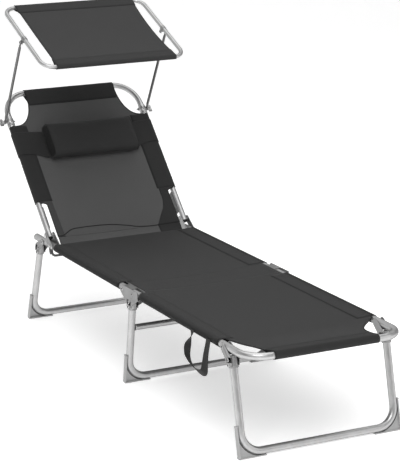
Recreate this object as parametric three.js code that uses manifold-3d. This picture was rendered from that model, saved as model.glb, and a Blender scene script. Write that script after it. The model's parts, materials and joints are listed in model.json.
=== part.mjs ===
// Folding sun lounger with an adjustable backrest, a tied-on pillow and a tilting canopy.
// Millimetres, +Z up, X across, +Y towards the head end, floor at z = 0.
import * as THREE from "three";
import { mergeVertices } from "three/addons/utils/BufferGeometryUtils.js";
import Module from "manifold-3d";

const wasm = await Module();
wasm.setup();

// Angles
const degree = Math.PI / 180;
const quarterTurn = 90 * degree;
const bendStep = 15 * degree;

// Counts
const tubeSides = 16;
const rodSides = 10;
const pinSides = 8;
const hoopSides = 12;
const clothColumns = 10;
const clothRows = 6;

// Clearances
const seatGap = 0.3;
const slideGap = 0.5;
const pinGap = 0.35;
const overrun = 6;
const weldReach = 0.001;

// Rails of the seat section
const railSpacing = 494;
const railHeight = 296;
const railTube = 22;
const railHeadEnd = 749;
const rearPivotInset = 77;
const backPivotInset = 109.6;
const backPivotRise = 28;
const capLength = 7;
const capRim = 2;
const capPlug = 10;
const railWall = 1.5;

// Hinges between seat section and foot section
const seatPivotY = 57;
const pivotSpacing = 70;
const tubeTail = 14;
const stripMargin = 12;
const stripGap = 2.5;

// Foot section
const footBarY = -720.5;
const frontPivotInset = 132.5;
const footCornerRadius = 68;
const hingeSleeveGap = 42;
const barSleeveInset = 19;
const nearSleeveInset = 5;

// Cloth
const cloth = 1.5;
const slingSag = 9;
const sagRun = 150;
const seatSleeveStart = 83;
const sleeveRoom = 8;
const frontSleeveRoom = 16;
const seatTongue = 41;
const clothRise = 8;
const clothRiseRun = 30;

// Legs: each is one bent tube, given by its pivot, its offset below the rail and its lean
const legTube = 22;
const legCorner = 58;
const legTopDrop = 20;
const frontLegOffset = 36.5;
const frontLegReach = 62.2;
const middleLegDrop = 24;
const middleLegOffset = 49;
const middleLegReach = 34.7;
const rearLegOffset = 40.3;
const rearLegReach = 83;
const crossBarTube = 19;
const crossBarHeight = 180;
const crossBarWrap = 19;

// Corner feet
const footReach = 86;
const footFlange = 16;
const footWall = 3.5;
const footWeb = 4;
const footBead = 3.4;

// Stamped brackets
const plate = 2;
const socketLength = 42;
const cheekDepth = 16;
const frontEye = 12;
const rearEye = 10.3;
const middleEye = 13.5;
const middleNose = 37;
const middleNoseDepth = 14;
const stopWebLength = 20;
const stopWebInset = 16;
const rivet = 6;
const rivetHead = 11;
const rivetCap = 1.8;
const socketRivetTop = 13;
const socketRivetPitch = 21;

// Backrest
const recline = 45.45 * degree;
const backTube = 19;
const backTail = 12;
const backPlug = 3.7;
const backTubeTop = 459;
const sleeveStart = 124;
const tongueRoom = 5.5;
const tongueEnd = -8;
const tongueStep = 15;
const bowRise = 100.9;
const bowCorner = 84;
const bowHalf = 241.5;
const bowNeckRise = 5;
const bowNeckBend = 70;
const bowSocketLength = 25.4;
const bowSocketWall = 2;
const collarLength = 6;
const collarWall = 2.6;
const collarPlay = 1.3;
const bowSleeveReach = 3.5;

// Racks on the inner sides of the side tubes
const rackPlate = 2.3;
const rackFront = 2;
const rackBack = 12;
const toothTip = 16.8;
const toothHalf = 5;
const rackStart = 28;
const rackEnd = 108;
const toothPlaces = [36, 51, 63, 79, 99];

// Hinge plates on the seat section
const hingeReach = 45.4;
const hingeRivetPitch = 18;
const hingeRivetHeight = 1;
const hingeFootRadius = 8;
const hingeEyeRadius = 11;
const hingePlate = 2.2;
const hingeInnerPlate = 2.6;
const pivotBolt = 7;
const pivotBoltHead = 12;
const pivotBoltCap = 4;

// Stay that holds the backrest up
const stayPivotSetback = 44.6;
const stayPivotDepth = 2;
const stayAngle = 84 * degree;
const toothClearance = 2.8;
const stayPlate = 2.4;
const stayWidth = 16;
const stayPin = 6;
const stayDrop = 38;
const stayDropAngle = -103.5 * degree;
const stayRod = 8;
const stayRodDrop = 51.4;
const stayRodCorner = 12;
const stayEyeRadius = 9;

// Pillow
const pillowHalf = 180;
const pillowInset = 12;
const pillowLength = 155;
const pillowThick = 58;
const pillowSeam = 7;
const pillowDraw = 9;
const pillowLift = 14;
const pillowEndShare = 0.7;
const bandInset = 10;
const bandWidth = 94;

// Carry webbing
const webWidth = 25;
const webThick = 2;
const webInset = 52;
const webLoop = 102;
const webDrop = 100;
const webSpread = 9.5;
const webAttach = 12;

// Canopy
const canopyRod = 8;
const canopyRodLength = 332;
const canopyRodLean = 117.85 * degree;
const canopySlope = 23 * degree;
const canopyTube = 14;
const canopyFront = -176;
const canopyRear = 196;
const canopyCorner = 43;
const canopyHemReach = 2.5;
const canopySag = 11;
const canopyJoint = 0.6;
const clipLength = 14;
const clipWall = 1.6;
const clipDrop = 10.5;
const clipFoot = 5;
const clipScrew = 5;
const clipScrewHead = 10;
const clipScrewCap = 3;
const washerGap = 1.2;
const eyeThick = 3.2;
const eyeRadius = 6.8;
const eyeLength = 16;
const boltOffset = 4;
const boltInset = 5;
const shoulderWasher = 3;
const wingHub = 13;
const wingHubLength = 10;
const wingSpan = 28;
const wingThick = 3.2;
const wingDepth = 12;

// Derived sizes
const railX = railSpacing / 2;
const railR = railTube / 2;
const legR = legTube / 2;
const backR = backTube / 2;
const canopyR = canopyTube / 2;
const rearPivotY = railHeadEnd - rearPivotInset;
const backPivotY = railHeadEnd - backPivotInset;
const backPivotZ = railHeight + backPivotRise;
const hingeRivetFirst = backPivotY - hingeReach;
const hingeRivetSecond = hingeRivetFirst + hingeRivetPitch;
const seatSleeveEnd = hingeRivetFirst - hingeFootRadius - sleeveRoom;
const seatClothEnd = seatSleeveEnd + seatTongue;
const frontPivotY = footBarY + frontPivotInset;
const footSleeveEnd = frontPivotY + frontEye + frontSleeveRoom;
const webEndY = footSleeveEnd + webInset;
const webStartY = webEndY + webLoop;
const footPivotY = seatPivotY - pivotSpacing;
const seatRailStart = seatPivotY - tubeTail;
const footTubeStart = footPivotY + tubeTail;
const plateInner = railR + slideGap;
const plateOuter = plateInner + plate;
const barHeight = legR + seatGap + footWall;
const frontLegTop = [frontPivotY - frontLegOffset, railHeight - legTopDrop];
const frontLegFoot = [frontLegTop[0] - frontLegReach, barHeight];
const middleLegTop = [seatPivotY - middleLegOffset, railHeight - middleLegDrop];
const middleLegFoot = [middleLegTop[0] + middleLegReach, barHeight];
const rearLegTop = [rearPivotY + rearLegOffset, railHeight - legTopDrop];
const rearLegFoot = [rearLegTop[0] + rearLegReach, barHeight];
const hingeLayer = plateOuter + slideGap;
const stayLayer = hingeLayer + hingeInnerPlate + slideGap;
const clothInside = railX - plateOuter - seatGap;
const stayPivotY = backPivotY + stayPivotSetback;
const stayPivotZ = railHeight - stayPivotDepth;
const stayBehind = stayPivotSetback * Math.sin(recline) + (backPivotZ - stayPivotZ) * Math.cos(recline);
const stayReach = (stayBehind - toothTip - stayPin / 2 - toothClearance) / Math.sin(stayAngle - recline);
const rackInner = backR + seatGap;
const bowTop = backTubeTop + bowRise;
const bowNeck = backTubeTop + bowNeckRise;
const bowSocketStart = backTubeTop - bowSocketLength;
const boltPlace = backTubeTop - boltInset;
const sleeveEnd = bowSocketStart - collarPlay - collarLength - seatGap;
const pillowEnd = sleeveEnd - pillowInset;
const pillowStart = pillowEnd - pillowLength;
const bandEnd = sleeveEnd - bandInset;
const bandStart = bandEnd - bandWidth;
const bowSkin = railX + (backR + seatGap + bowSocketWall) / Math.cos(Math.PI / tubeSides) + seatGap;
const eyeInner = bowSkin + shoulderWasher + seatGap;
const eyeOuter = eyeInner + eyeThick;
const canopyHalf = eyeInner - washerGap - clipWall - seatGap - canopyR;
const canopyClothHalf = canopyHalf - canopyCorner + canopyHemReach;
const tongueHalf = railX - stayLayer - stayPlate - tongueRoom;
const barSleeveHalf = railX - footCornerRadius - barSleeveInset;
const nearSleeveHalf = railX - footCornerRadius - nearSleeveInset;
const bowSleeveHalf = bowHalf - bowCorner + bowSleeveReach;

// Materials
function paint(color, roughness, metalness) {
  return new THREE.MeshStandardMaterial({ color, roughness, metalness });
}
const frameSteel = paint("#b4b4b4", 0.42, 0.7);
const plateSteel = paint("#a8a8a8", 0.45, 0.75);
const brightSteel = paint("#d2d2d2", 0.25, 0.9);
const footPlastic = paint("#a4a4a4", 0.6, 0);
const blackPlastic = paint("#1c1c1c", 0.55, 0);
const seatCloth = paint("#434343", 0.95, 0);
const backCloth = paint("#4c4c4c", 0.95, 0);
const canopyCloth = paint("#494949", 0.9, 0);
const pillowCloth = paint("#2e2e2e", 0.95, 0);
const webbing = paint("#262626", 0.9, 0);

// Solids
function solidOf(geometry) {
  const loose = geometry.index ? geometry.toNonIndexed() : geometry;
  const bare = new THREE.BufferGeometry();
  bare.setAttribute("position", loose.getAttribute("position"));
  const merged = mergeVertices(bare, weldReach);
  const shell = new wasm.Mesh({
    numProp: 3,
    vertProperties: merged.attributes.position.array,
    triVerts: new Uint32Array(merged.index.array),
  });
  return new wasm.Manifold(shell);
}

function geometryOf(solid) {
  const shell = solid.getMesh();
  const geometry = new THREE.BufferGeometry();
  geometry.setAttribute("position", new THREE.BufferAttribute(shell.vertProperties, shell.numProp));
  geometry.setIndex(new THREE.BufferAttribute(shell.triVerts, 1));
  return geometry;
}

function join(pieces) {
  return geometryOf(pieces.map(solidOf).reduce((sum, piece) => sum.add(piece)));
}

function cut(base, tools) {
  return geometryOf(tools.map(solidOf).reduce((rest, tool) => rest.subtract(tool), solidOf(base)));
}

function common(base, mask) {
  return geometryOf(solidOf(base).intersect(solidOf(mask)));
}

// Plane outlines
function polygon(radius, sides) {
  const points = [];
  for (let i = 0; i < sides; i++) {
    const turn = ((2 * i + 1) * Math.PI) / sides;
    points.push(new THREE.Vector2(radius * Math.cos(turn), radius * Math.sin(turn)));
  }
  return points;
}

function around(radius, sides) {
  return polygon(radius / Math.cos(Math.PI / sides), sides);
}

function discAt(y, z, radius) {
  return polygon(radius, 2 * pinSides).map((p) => new THREE.Vector2(p.x + y, p.y + z));
}

// Smallest convex outline round a set of points
function hull(points) {
  const sorted = [...points].sort((a, b) => a.x - b.x || a.y - b.y);
  const turn = (o, a, b) => (a.x - o.x) * (b.y - o.y) - (a.y - o.y) * (b.x - o.x);
  const half = (list) => {
    const chain = [];
    for (const p of list) {
      while (chain.length > 1 && turn(chain.at(-2), chain.at(-1), p) <= 0) chain.pop();
      chain.push(p);
    }
    chain.pop();
    return chain;
  };
  return [...half(sorted), ...half(sorted.reverse())];
}

function extrude(points, depth, holes = []) {
  const shape = new THREE.Shape(points);
  for (const hole of holes) shape.holes.push(new THREE.Path(hole));
  return new THREE.ExtrudeGeometry(shape, { depth, bevelEnabled: false });
}

// Outline in (y, z), solid from x = from to x = to
function slabX(points, from, to, holes = []) {
  const turned = new THREE.Matrix4().makeBasis(
    new THREE.Vector3(0, 1, 0),
    new THREE.Vector3(0, 0, 1),
    new THREE.Vector3(1, 0, 0),
  );
  return extrude(points, to - from, holes).applyMatrix4(turned).translate(from, 0, 0);
}

// Outline in (x, z), solid from y = from to y = to
function slabY(points, from, to, holes = []) {
  return extrude(points, to - from, holes).rotateX(quarterTurn).translate(0, to, 0);
}

function pinX(y, z, diameter, from, to, sides = pinSides) {
  return slabX(polygon(diameter / 2, sides), from, to).translate(0, y, z);
}

function holeX(y, z, diameter, from, to) {
  return slabX(around(diameter / 2 + pinGap, pinSides), from, to).translate(0, y, z);
}

function box(x0, x1, y0, y1, z0, z1) {
  const block = new THREE.BoxGeometry(x1 - x0, y1 - y0, z1 - z0);
  return block.translate((x0 + x1) / 2, (y0 + y1) / 2, (z0 + z1) / 2);
}

// Route that keeps its rings at the given stations
class Route extends THREE.Curve {
  constructor(stations) {
    super();
    this.stations = stations;
  }
  nearest(u) {
    return this.stations[Math.round(u * (this.stations.length - 1))];
  }
  getPoint(u) {
    return this.nearest(u).place.clone();
  }
  getPointAt(u) {
    return this.nearest(u).place.clone();
  }
  getTangentAt(u) {
    return this.nearest(u).heading.clone();
  }
}

// Stations along straight runs joined by bends of the given radii
function bentStations(corners, radii) {
  const last = corners.length - 1;
  const heading = (i) => corners[i + 1].clone().sub(corners[i]).normalize();
  const stations = [{ place: corners[0], heading: heading(0) }];
  for (let i = 1; i < last; i++) {
    const into = heading(i - 1);
    const out = heading(i);
    const bend = into.angleTo(out);
    const radius = radii[i - 1];
    const setback = radius * Math.tan(bend / 2);
    const start = corners[i].clone().addScaledVector(into, -setback);
    const inward = out.clone().addScaledVector(into, -into.dot(out)).normalize();
    const centre = start.clone().addScaledVector(inward, radius);
    const rings = Math.ceil(bend / bendStep);
    for (let k = 0; k <= rings; k++) {
      const turn = (bend * k) / rings;
      const place = centre.clone().addScaledVector(inward, -radius * Math.cos(turn));
      place.addScaledVector(into, radius * Math.sin(turn));
      const along = into.clone().multiplyScalar(Math.cos(turn)).addScaledVector(inward, Math.sin(turn));
      stations.push({ place, heading: along });
    }
  }
  stations.push({ place: corners[last], heading: heading(last - 1) });
  return stations;
}

function sweep(outline, corners, radii) {
  const stations = bentStations(corners, radii);
  return new THREE.ExtrudeGeometry(new THREE.Shape(outline), {
    steps: stations.length - 1,
    bevelEnabled: false,
    extrudePath: new Route(stations),
  });
}

function point(x, y, z) {
  return new THREE.Vector3(x, y, z);
}

// Scene helpers
function mesh(name, geometry, material) {
  const piece = new THREE.Mesh(geometry, material);
  piece.name = name;
  return piece;
}

const sides = [
  { word: "left", sign: -1 },
  { word: "right", sign: 1 },
];

// A solid drawn for the right side, mirrored for the left side
function onSide(geometry, sign) {
  if (sign > 0) return geometry;
  const mirrored = (geometry.index ? geometry.toNonIndexed() : geometry.clone()).scale(sign, 1, 1);
  const places = mirrored.getAttribute("position");
  const a = new THREE.Vector3();
  const b = new THREE.Vector3();
  for (let i = 0; i < places.count; i += 3) {
    a.fromBufferAttribute(places, i);
    b.fromBufferAttribute(places, i + 1);
    places.setXYZ(i, b.x, b.y, b.z);
    places.setXYZ(i + 1, a.x, a.y, a.z);
  }
  const bare = new THREE.BufferGeometry();
  bare.setAttribute("position", places);
  return bare;
}

const lounger = new THREE.Group();

function addPair(parent, name, rightGeometry, material) {
  for (const { word, sign } of sides) parent.add(mesh(name + "_" + word, onSide(rightGeometry, sign), material));
}

// Cloth sheet stretched between two rails, its top at height(x, y)
function sheet(halfWidth, fromY, toY, height, rows = clothRows) {
  const flat = new THREE.BoxGeometry(2 * halfWidth, toY - fromY, cloth, clothColumns, rows, 1);
  flat.translate(0, (fromY + toY) / 2, 0);
  const places = flat.getAttribute("position");
  for (let i = 0; i < places.count; i++) {
    const lift = height(places.getX(i), places.getY(i)) - cloth / 2;
    places.setZ(i, places.getZ(i) + lift);
  }
  return flat;
}

function mirroredOutline(half, otherHalf = half) {
  const other = [...otherHalf].reverse().map(([x, y]) => [-x, y]);
  return [...half, ...other].map(([x, y]) => new THREE.Vector2(x, y));
}

function trimmed(cover, half, otherHalf = half) {
  const reach = 2 * railTube + slingSag + clothRise;
  return common(cover, extrude(mirroredOutline(half, otherHalf), 2 * reach).translate(0, 0, -reach));
}

// Sleeve of cloth round a tube that runs along Y at x
function sleeveY(x, tubeRadius, from, to) {
  const outline = around(tubeRadius + seatGap + cloth, tubeSides);
  return slabY(outline, from, to).translate(x, 0, 0);
}

function boreY(x, tubeRadius, from, to) {
  return slabY(around(tubeRadius + seatGap, tubeSides), from - overrun, to + overrun).translate(x, 0, 0);
}

function ease(share) {
  const t = Math.min(Math.max(share, 0), 1);
  return t * t * (3 - 2 * t);
}

// Seat section
const sleeveTop = railR + seatGap + cloth;
const droop = (x, half) => slingSag * Math.max(1 - (x / half) ** 2, 0);

function railSolid() {
  const body = slabY(polygon(railR, tubeSides), seatRailStart, railHeadEnd - capLength);
  const drilled = [seatPivotY, rearPivotY, hingeRivetFirst, hingeRivetSecond].map((y) => {
    const isHinge = y === hingeRivetFirst || y === hingeRivetSecond;
    return holeX(y, isHinge ? hingeRivetHeight : 0, rivet, -railTube, railTube);
  });
  const mouth = slabY(polygon(railR - railWall, tubeSides), railHeadEnd - capLength - capPlug - capRim,
    railHeadEnd);
  return cut(body, [...drilled, mouth]).translate(railX, 0, railHeight);
}

function capSolid() {
  const inside = railR - railWall - seatGap;
  const outside = railR;
  const profile = [
    [0, -capPlug],
    [inside, -capPlug],
    [inside, seatGap],
    [outside, seatGap],
    [outside, capRim],
    [outside * Math.cos(quarterTurn / 3), capRim + (capLength - capRim) / 2],
    [outside / 2, capLength - capRim / 4],
    [0, capLength],
  ].map(([r, h]) => new THREE.Vector2(r, h));
  const turned = new THREE.LatheGeometry(profile, tubeSides);
  return turned.translate(railX, railHeadEnd - capLength, railHeight);
}

const seatFrame = new THREE.Group();
lounger.add(seatFrame);
addPair(seatFrame, "seat_rail", railSolid(), frameSteel);
addPair(seatFrame, "rail_cap", capSolid(), footPlastic);

const seatClothStart = seatPivotY - stripMargin;
const seatTop = (x, y) => sleeveTop - droop(x, railX) + clothRise * ease((y - seatSleeveEnd) / clothRiseRun);
const seatOutline = [
  [clothInside - seatGap, seatClothStart],
  [clothInside - seatGap, seatSleeveStart],
  [railX, seatSleeveStart],
  [railX, seatSleeveEnd],
  [tongueHalf, seatSleeveEnd + seatGap],
  [tongueHalf, seatClothEnd],
];
const seatSheet = trimmed(sheet(railX, seatClothStart, seatClothEnd, seatTop), seatOutline);
const seatCover = cut(
  join([
    seatSheet,
    sleeveY(railX, railR, seatSleeveStart, seatSleeveEnd),
    sleeveY(-railX, railR, seatSleeveStart, seatSleeveEnd),
  ]),
  [
    boreY(railX, railR, seatSleeveStart, seatSleeveEnd),
    boreY(-railX, railR, seatSleeveStart, seatSleeveEnd),
  ],
);
seatFrame.add(mesh("seat_cloth", seatCover.translate(0, 0, railHeight), seatCloth));

// Hinge plates: an outer and an inner plate on two rivets, with the stay's pivot at the rear of the inner one
function hingePlateSolid() {
  const low = railHeight + hingeRivetHeight;
  const outerLine = hull([
    ...discAt(hingeRivetFirst, low, hingeFootRadius),
    ...discAt(hingeRivetSecond, low, hingeFootRadius),
    ...discAt(backPivotY, backPivotZ, hingeEyeRadius),
  ]);
  const innerLine = hull([
    ...discAt(hingeRivetFirst, low, hingeFootRadius),
    ...discAt(backPivotY, backPivotZ, hingeEyeRadius),
    ...discAt(stayPivotY, stayPivotZ, stayEyeRadius),
  ]);
  const outerFrom = railX + railR + seatGap;
  const outerTo = outerFrom + hingePlate;
  const innerTo = railX - hingeLayer;
  const innerFrom = innerTo - hingeInnerPlate;
  const pieces = [slabX(outerLine, outerFrom, outerTo), slabX(innerLine, innerFrom, innerTo)];
  for (const y of [hingeRivetFirst, hingeRivetSecond]) {
    pieces.push(pinX(y, low, rivet, innerFrom, outerTo + rivetCap));
    pieces.push(pinX(y, low, rivetHead, outerTo - hingePlate / 2, outerTo + rivetCap));
    pieces.push(pinX(y, low, rivetHead, innerTo - hingeInnerPlate / 2, railX - railR - seatGap));
  }
  return cut(join(pieces), [
    holeX(backPivotY, backPivotZ, pivotBolt, 0, 2 * railX),
    holeX(stayPivotY, stayPivotZ, stayPin, 0, railX),
  ]);
}
addPair(seatFrame, "hinge_plate", hingePlateSolid(), plateSteel);

// Legs: a bent tube in its own plane, the bar at the group's origin and the sides up along Z
function legGroup(parent, top, foot) {
  const group = new THREE.Group();
  group.position.set(0, foot[0], foot[1]);
  group.rotation.x = -Math.atan2(top[0] - foot[0], top[1] - foot[1]);
  parent.add(group);
  return group;
}

function legLength(top, foot) {
  return Math.hypot(top[0] - foot[0], top[1] - foot[1]);
}

// Places, along the leg and from its bar, of the rivets in its socket
function socketPlaces(length) {
  return [length - socketRivetTop, length - socketRivetTop - socketRivetPitch];
}

function legSolid(length) {
  const corners = [
    point(-railX, 0, length),
    point(-railX, 0, 0),
    point(railX, 0, 0),
    point(railX, 0, length),
  ];
  const tube = sweep(polygon(legR, tubeSides), corners, [legCorner, legCorner]);
  const holes = [];
  for (const { sign } of sides) {
    for (const w of socketPlaces(length)) {
      holes.push(holeX(0, w, rivet, sign * railX - legTube, sign * railX + legTube));
    }
  }
  return cut(tube, holes);
}

// Corner foot: an outer flange, a floor flange and a web that fill the corner outside the bend
function footSolid(top, foot) {
  const lean = -Math.atan2(top[0] - foot[0], top[1] - foot[1]);
  const skin = legR + seatGap;
  const outer = railX + skin + footWall;
  const webEdge = skin + footWall / 2;
  const bend = [];
  const rings = Math.ceil(quarterTurn / bendStep);
  for (let k = 0; k <= rings; k++) {
    const turn = (quarterTurn * k) / rings;
    bend.push([
      railX - legCorner + legCorner * Math.cos(turn),
      legCorner - legCorner * Math.sin(turn),
    ]);
  }
  const webLine = [
    [railX - legCorner, -webEdge],
    [railX + webEdge, -webEdge],
    [railX + webEdge, legCorner],
    ...bend,
  ].map(([x, z]) => new THREE.Vector2(x, z));
  const web = slabY(webLine, -footWeb / 2, footWeb / 2);
  const wall = box(railX + skin, outer, -footFlange / 2, footFlange / 2, -webEdge, footReach - skin);
  const bead = slabY(polygon(footBead, pinSides), -footFlange / 2, footFlange / 2);
  bead.translate(outer - footBead / 2, 0, footReach - skin);
  const tilted = join([web, wall, bead]).rotateX(lean).translate(0, foot[0], foot[1]);
  const half = footFlange / 2;
  const sole = box(outer - footReach, outer, foot[0] - half, foot[0] + half, 0, footWall);
  const corners = [
    point(railX - 2 * footReach, 0, 0),
    point(railX, 0, 0),
    point(railX, 0, 2 * footReach),
  ];
  const clear = sweep(around(skin, tubeSides), corners, [legCorner]);
  clear.rotateX(lean).translate(0, foot[0], foot[1]);
  const below = box(0, 2 * railX, foot[0] - footReach, foot[0] + footReach, -footReach, 0);
  return cut(join([tilted, sole]), [clear, below]);
}

// Bracket: two plates beside the rail, a socket round the leg, and rivets through both
function bracketSolid({ top, foot, eyes, extra, webs }) {
  const lean = -Math.atan2(top[0] - foot[0], top[1] - foot[1]);
  const length = legLength(top, foot);
  const inLeg = (geometry) => geometry.rotateX(lean).translate(0, foot[0], foot[1]);
  const along = (v, w) => {
    const place = point(0, v, w).applyAxisAngle(point(1, 0, 0), lean);
    return new THREE.Vector2(place.y + foot[0], place.z + foot[1]);
  };
  const low = length - socketLength;
  const arm = hull([
    ...eyes.flatMap(({ y, radius }) => discAt(y, railHeight, radius)),
    ...extra.map(([y, z]) => new THREE.Vector2(y, z)),
    along(-plateOuter, length),
    along(plateOuter, length),
    along(-plateOuter, length - cheekDepth),
    along(plateOuter, length - cheekDepth),
  ]);
  const cheek = hull([
    along(-plateOuter, length),
    along(plateOuter, length),
    along(-plateOuter, low + plateOuter / 2),
    along(plateOuter, low + plateOuter / 2),
  ]);
  const ring = extrude(polygon(plateOuter / Math.cos(Math.PI / tubeSides), tubeSides), socketLength);
  const pieces = [inLeg(ring.translate(railX, 0, low))];
  for (const line of [arm, cheek]) {
    pieces.push(slabX(line, railX - plateOuter, railX - plateInner));
    pieces.push(slabX(line, railX + plateInner, railX + plateOuter));
  }
  const bore = extrude(around(legR + seatGap, tubeSides), length).translate(railX, 0, length / 2);
  const shaped = cut(join(pieces), [inLeg(bore)]);
  const rivets = [];
  for (const { y } of eyes) {
    rivets.push(pinX(y, railHeight, rivet, railX - plateOuter, railX + plateOuter));
    rivets.push(pinX(y, railHeight, rivetHead, railX + plateOuter - plate / 2, railX + plateOuter + rivetCap));
  }
  for (const w of socketPlaces(length)) {
    const place = along(0, w);
    rivets.push(pinX(place.x, place.y, rivet, railX - plateOuter, railX + plateOuter));
    rivets.push(pinX(place.x, place.y, rivetHead, railX + plateOuter - plate / 2,
      railX + plateOuter + rivetCap));
  }
  const bridges = webs.map(([y0, y1, z0, z1]) => box(railX - plateOuter, railX + plateOuter, y0, y1, z0, z1));
  return join([shaped, ...rivets, ...bridges]);
}

const underRail = railHeight - railR - seatGap;
const overRail = railHeight + railR + seatGap;

function addLeg(parent, name, top, foot) {
  const group = legGroup(parent, top, foot);
  group.add(mesh(name + "_leg", legSolid(legLength(top, foot)), frameSteel));
  addPair(parent, name + "_foot", footSolid(top, foot), footPlastic);
}

// Middle leg with its double-pivot brackets, cross bar and the strip of cloth between the hinges
const middle = new THREE.Group();
lounger.add(middle);
addLeg(middle, "middle", middleLegTop, middleLegFoot);
const noseY = footPivotY - middleNose;
addPair(
  middle,
  "middle_bracket",
  bracketSolid({
    top: middleLegTop,
    foot: middleLegFoot,
    eyes: [
      { y: seatPivotY, radius: middleEye },
      { y: footPivotY, radius: middleEye },
    ],
    extra: [
      [noseY, railHeight + middleEye],
      [noseY, railHeight - middleNoseDepth],
    ],
    webs: [
      [footPivotY + plateInner, seatPivotY - plateInner, overRail, railHeight + middleEye],
      [noseY, noseY + stopWebLength, underRail - plate, underRail],
    ],
  }),
  plateSteel,
);
const barShare = (crossBarHeight - middleLegFoot[1]) / (middleLegTop[1] - middleLegFoot[1]);
const barY = middleLegFoot[0] + barShare * (middleLegTop[0] - middleLegFoot[0]);
const barReach = railX - legR - seatGap;
const barBody = slabX(polygon(crossBarTube / 2, tubeSides), -barReach, barReach);
const barCups = sides.map(({ sign }) =>
  slabX(polygon(crossBarWrap / 2 + cloth, tubeSides), sign > 0 ? barReach - cloth : -barReach,
    sign > 0 ? barReach : cloth - barReach),
);
middle.add(mesh("cross_bar", join([barBody, ...barCups]).translate(0, barY, crossBarHeight), frameSteel));

const stripFrom = footPivotY + stripMargin + stripGap;
const stripTo = seatPivotY - stripMargin - stripGap;
const stripTop = (x) => sleeveTop - droop(x, railX);
const strip = sheet(clothInside, stripFrom, stripTo, stripTop, 1).translate(0, 0, railHeight);
middle.add(mesh("hinge_cloth", strip, seatCloth));

// Foot section
const footFrame = new THREE.Group();
lounger.add(footFrame);
const footTube = sweep(
  polygon(railR, tubeSides),
  [
    point(-railX, footTubeStart, 0),
    point(-railX, footBarY, 0),
    point(railX, footBarY, 0),
    point(railX, footTubeStart, 0),
  ],
  [footCornerRadius, footCornerRadius],
);
const footHoles = [];
for (const { sign } of sides) {
  for (const y of [footPivotY, frontPivotY]) {
    footHoles.push(holeX(y, 0, rivet, sign * railX - railTube, sign * railX + railTube));
  }
}
footFrame.add(mesh("foot_tube", cut(footTube, footHoles).translate(0, 0, railHeight), frameSteel));

const footSleeveStart = footPivotY - hingeSleeveGap;
const footClothStart = footPivotY + stripMargin;
const footTop = (x, y) => sleeveTop - droop(x, railX) * ease((y - footBarY) / sagRun);
const nearNotchShares = [
  [0.93, 0.845],
  [0.87, 0.56],
  [0.82, 0.39],
  [0.77, 0.15],
];
const farNotchShares = [
  [0.9, 0.86],
  [0.82, 0.74],
  [0.72, 0.6],
  [0.64, 0.44],
  [0.61, 0.27],
  [0.615, 0.1],
];
const notchRun = footSleeveEnd - footBarY;
const eyeFront = frontPivotY + frontEye + slideGap;
const footOutline = (barHalf, notchShares) => [
  [barHalf, footBarY],
  ...notchShares.map(([x, y]) => [x * railX, footBarY + y * notchRun]).reverse(),
  [clothInside - seatGap, eyeFront],
  [railX, footSleeveEnd],
  [railX, footSleeveStart],
  [clothInside - seatGap, footSleeveStart],
  [clothInside - seatGap, footClothStart],
];
const footSheet = trimmed(
  sheet(railX, footBarY, footClothStart, footTop, 2 * clothRows),
  footOutline(barSleeveHalf, farNotchShares),
  footOutline(nearSleeveHalf, nearNotchShares),
);
const barSleeve = slabX(around(sleeveTop, tubeSides), -nearSleeveHalf, barSleeveHalf).translate(0, footBarY, 0);
const barBore = slabX(around(railR + seatGap, tubeSides), -railX, railX).translate(0, footBarY, 0);
const footCover = cut(
  join([
    footSheet,
    barSleeve,
    sleeveY(railX, railR, footSleeveEnd, footSleeveStart),
    sleeveY(-railX, railR, footSleeveEnd, footSleeveStart),
  ]),
  [
    barBore,
    boreY(railX, railR, footSleeveEnd, footSleeveStart),
    boreY(-railX, railR, footSleeveEnd, footSleeveStart),
  ],
);
footFrame.add(mesh("foot_cloth", footCover.translate(0, 0, railHeight), seatCloth));

// Carry webbing: sewn flat to the outside of the near sleeve, hanging in a loop with a quarter twist
const webAlongShares = [0, 0, 0.03, 0.12, 0.26, 0.42, 0.6, 0.76, 0.9, 0.98, 1, 1];
const webDropShares = [-0.16, 0.05, 0.3, 0.6, 0.84, 0.97, 1, 0.93, 0.72, 0.4, 0.08, -0.16];
const webSpreadShares = [0, 0.1, 0.45, 0.8, 1, 1, 1, 1, 1, 1, 0.45, 0];
const webTwistShares = [0, 0, 0.1, 0.2, 0.3, 0.4, 0.55, 0.7, 0.75, 0.7, 0.2, 0];

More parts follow.
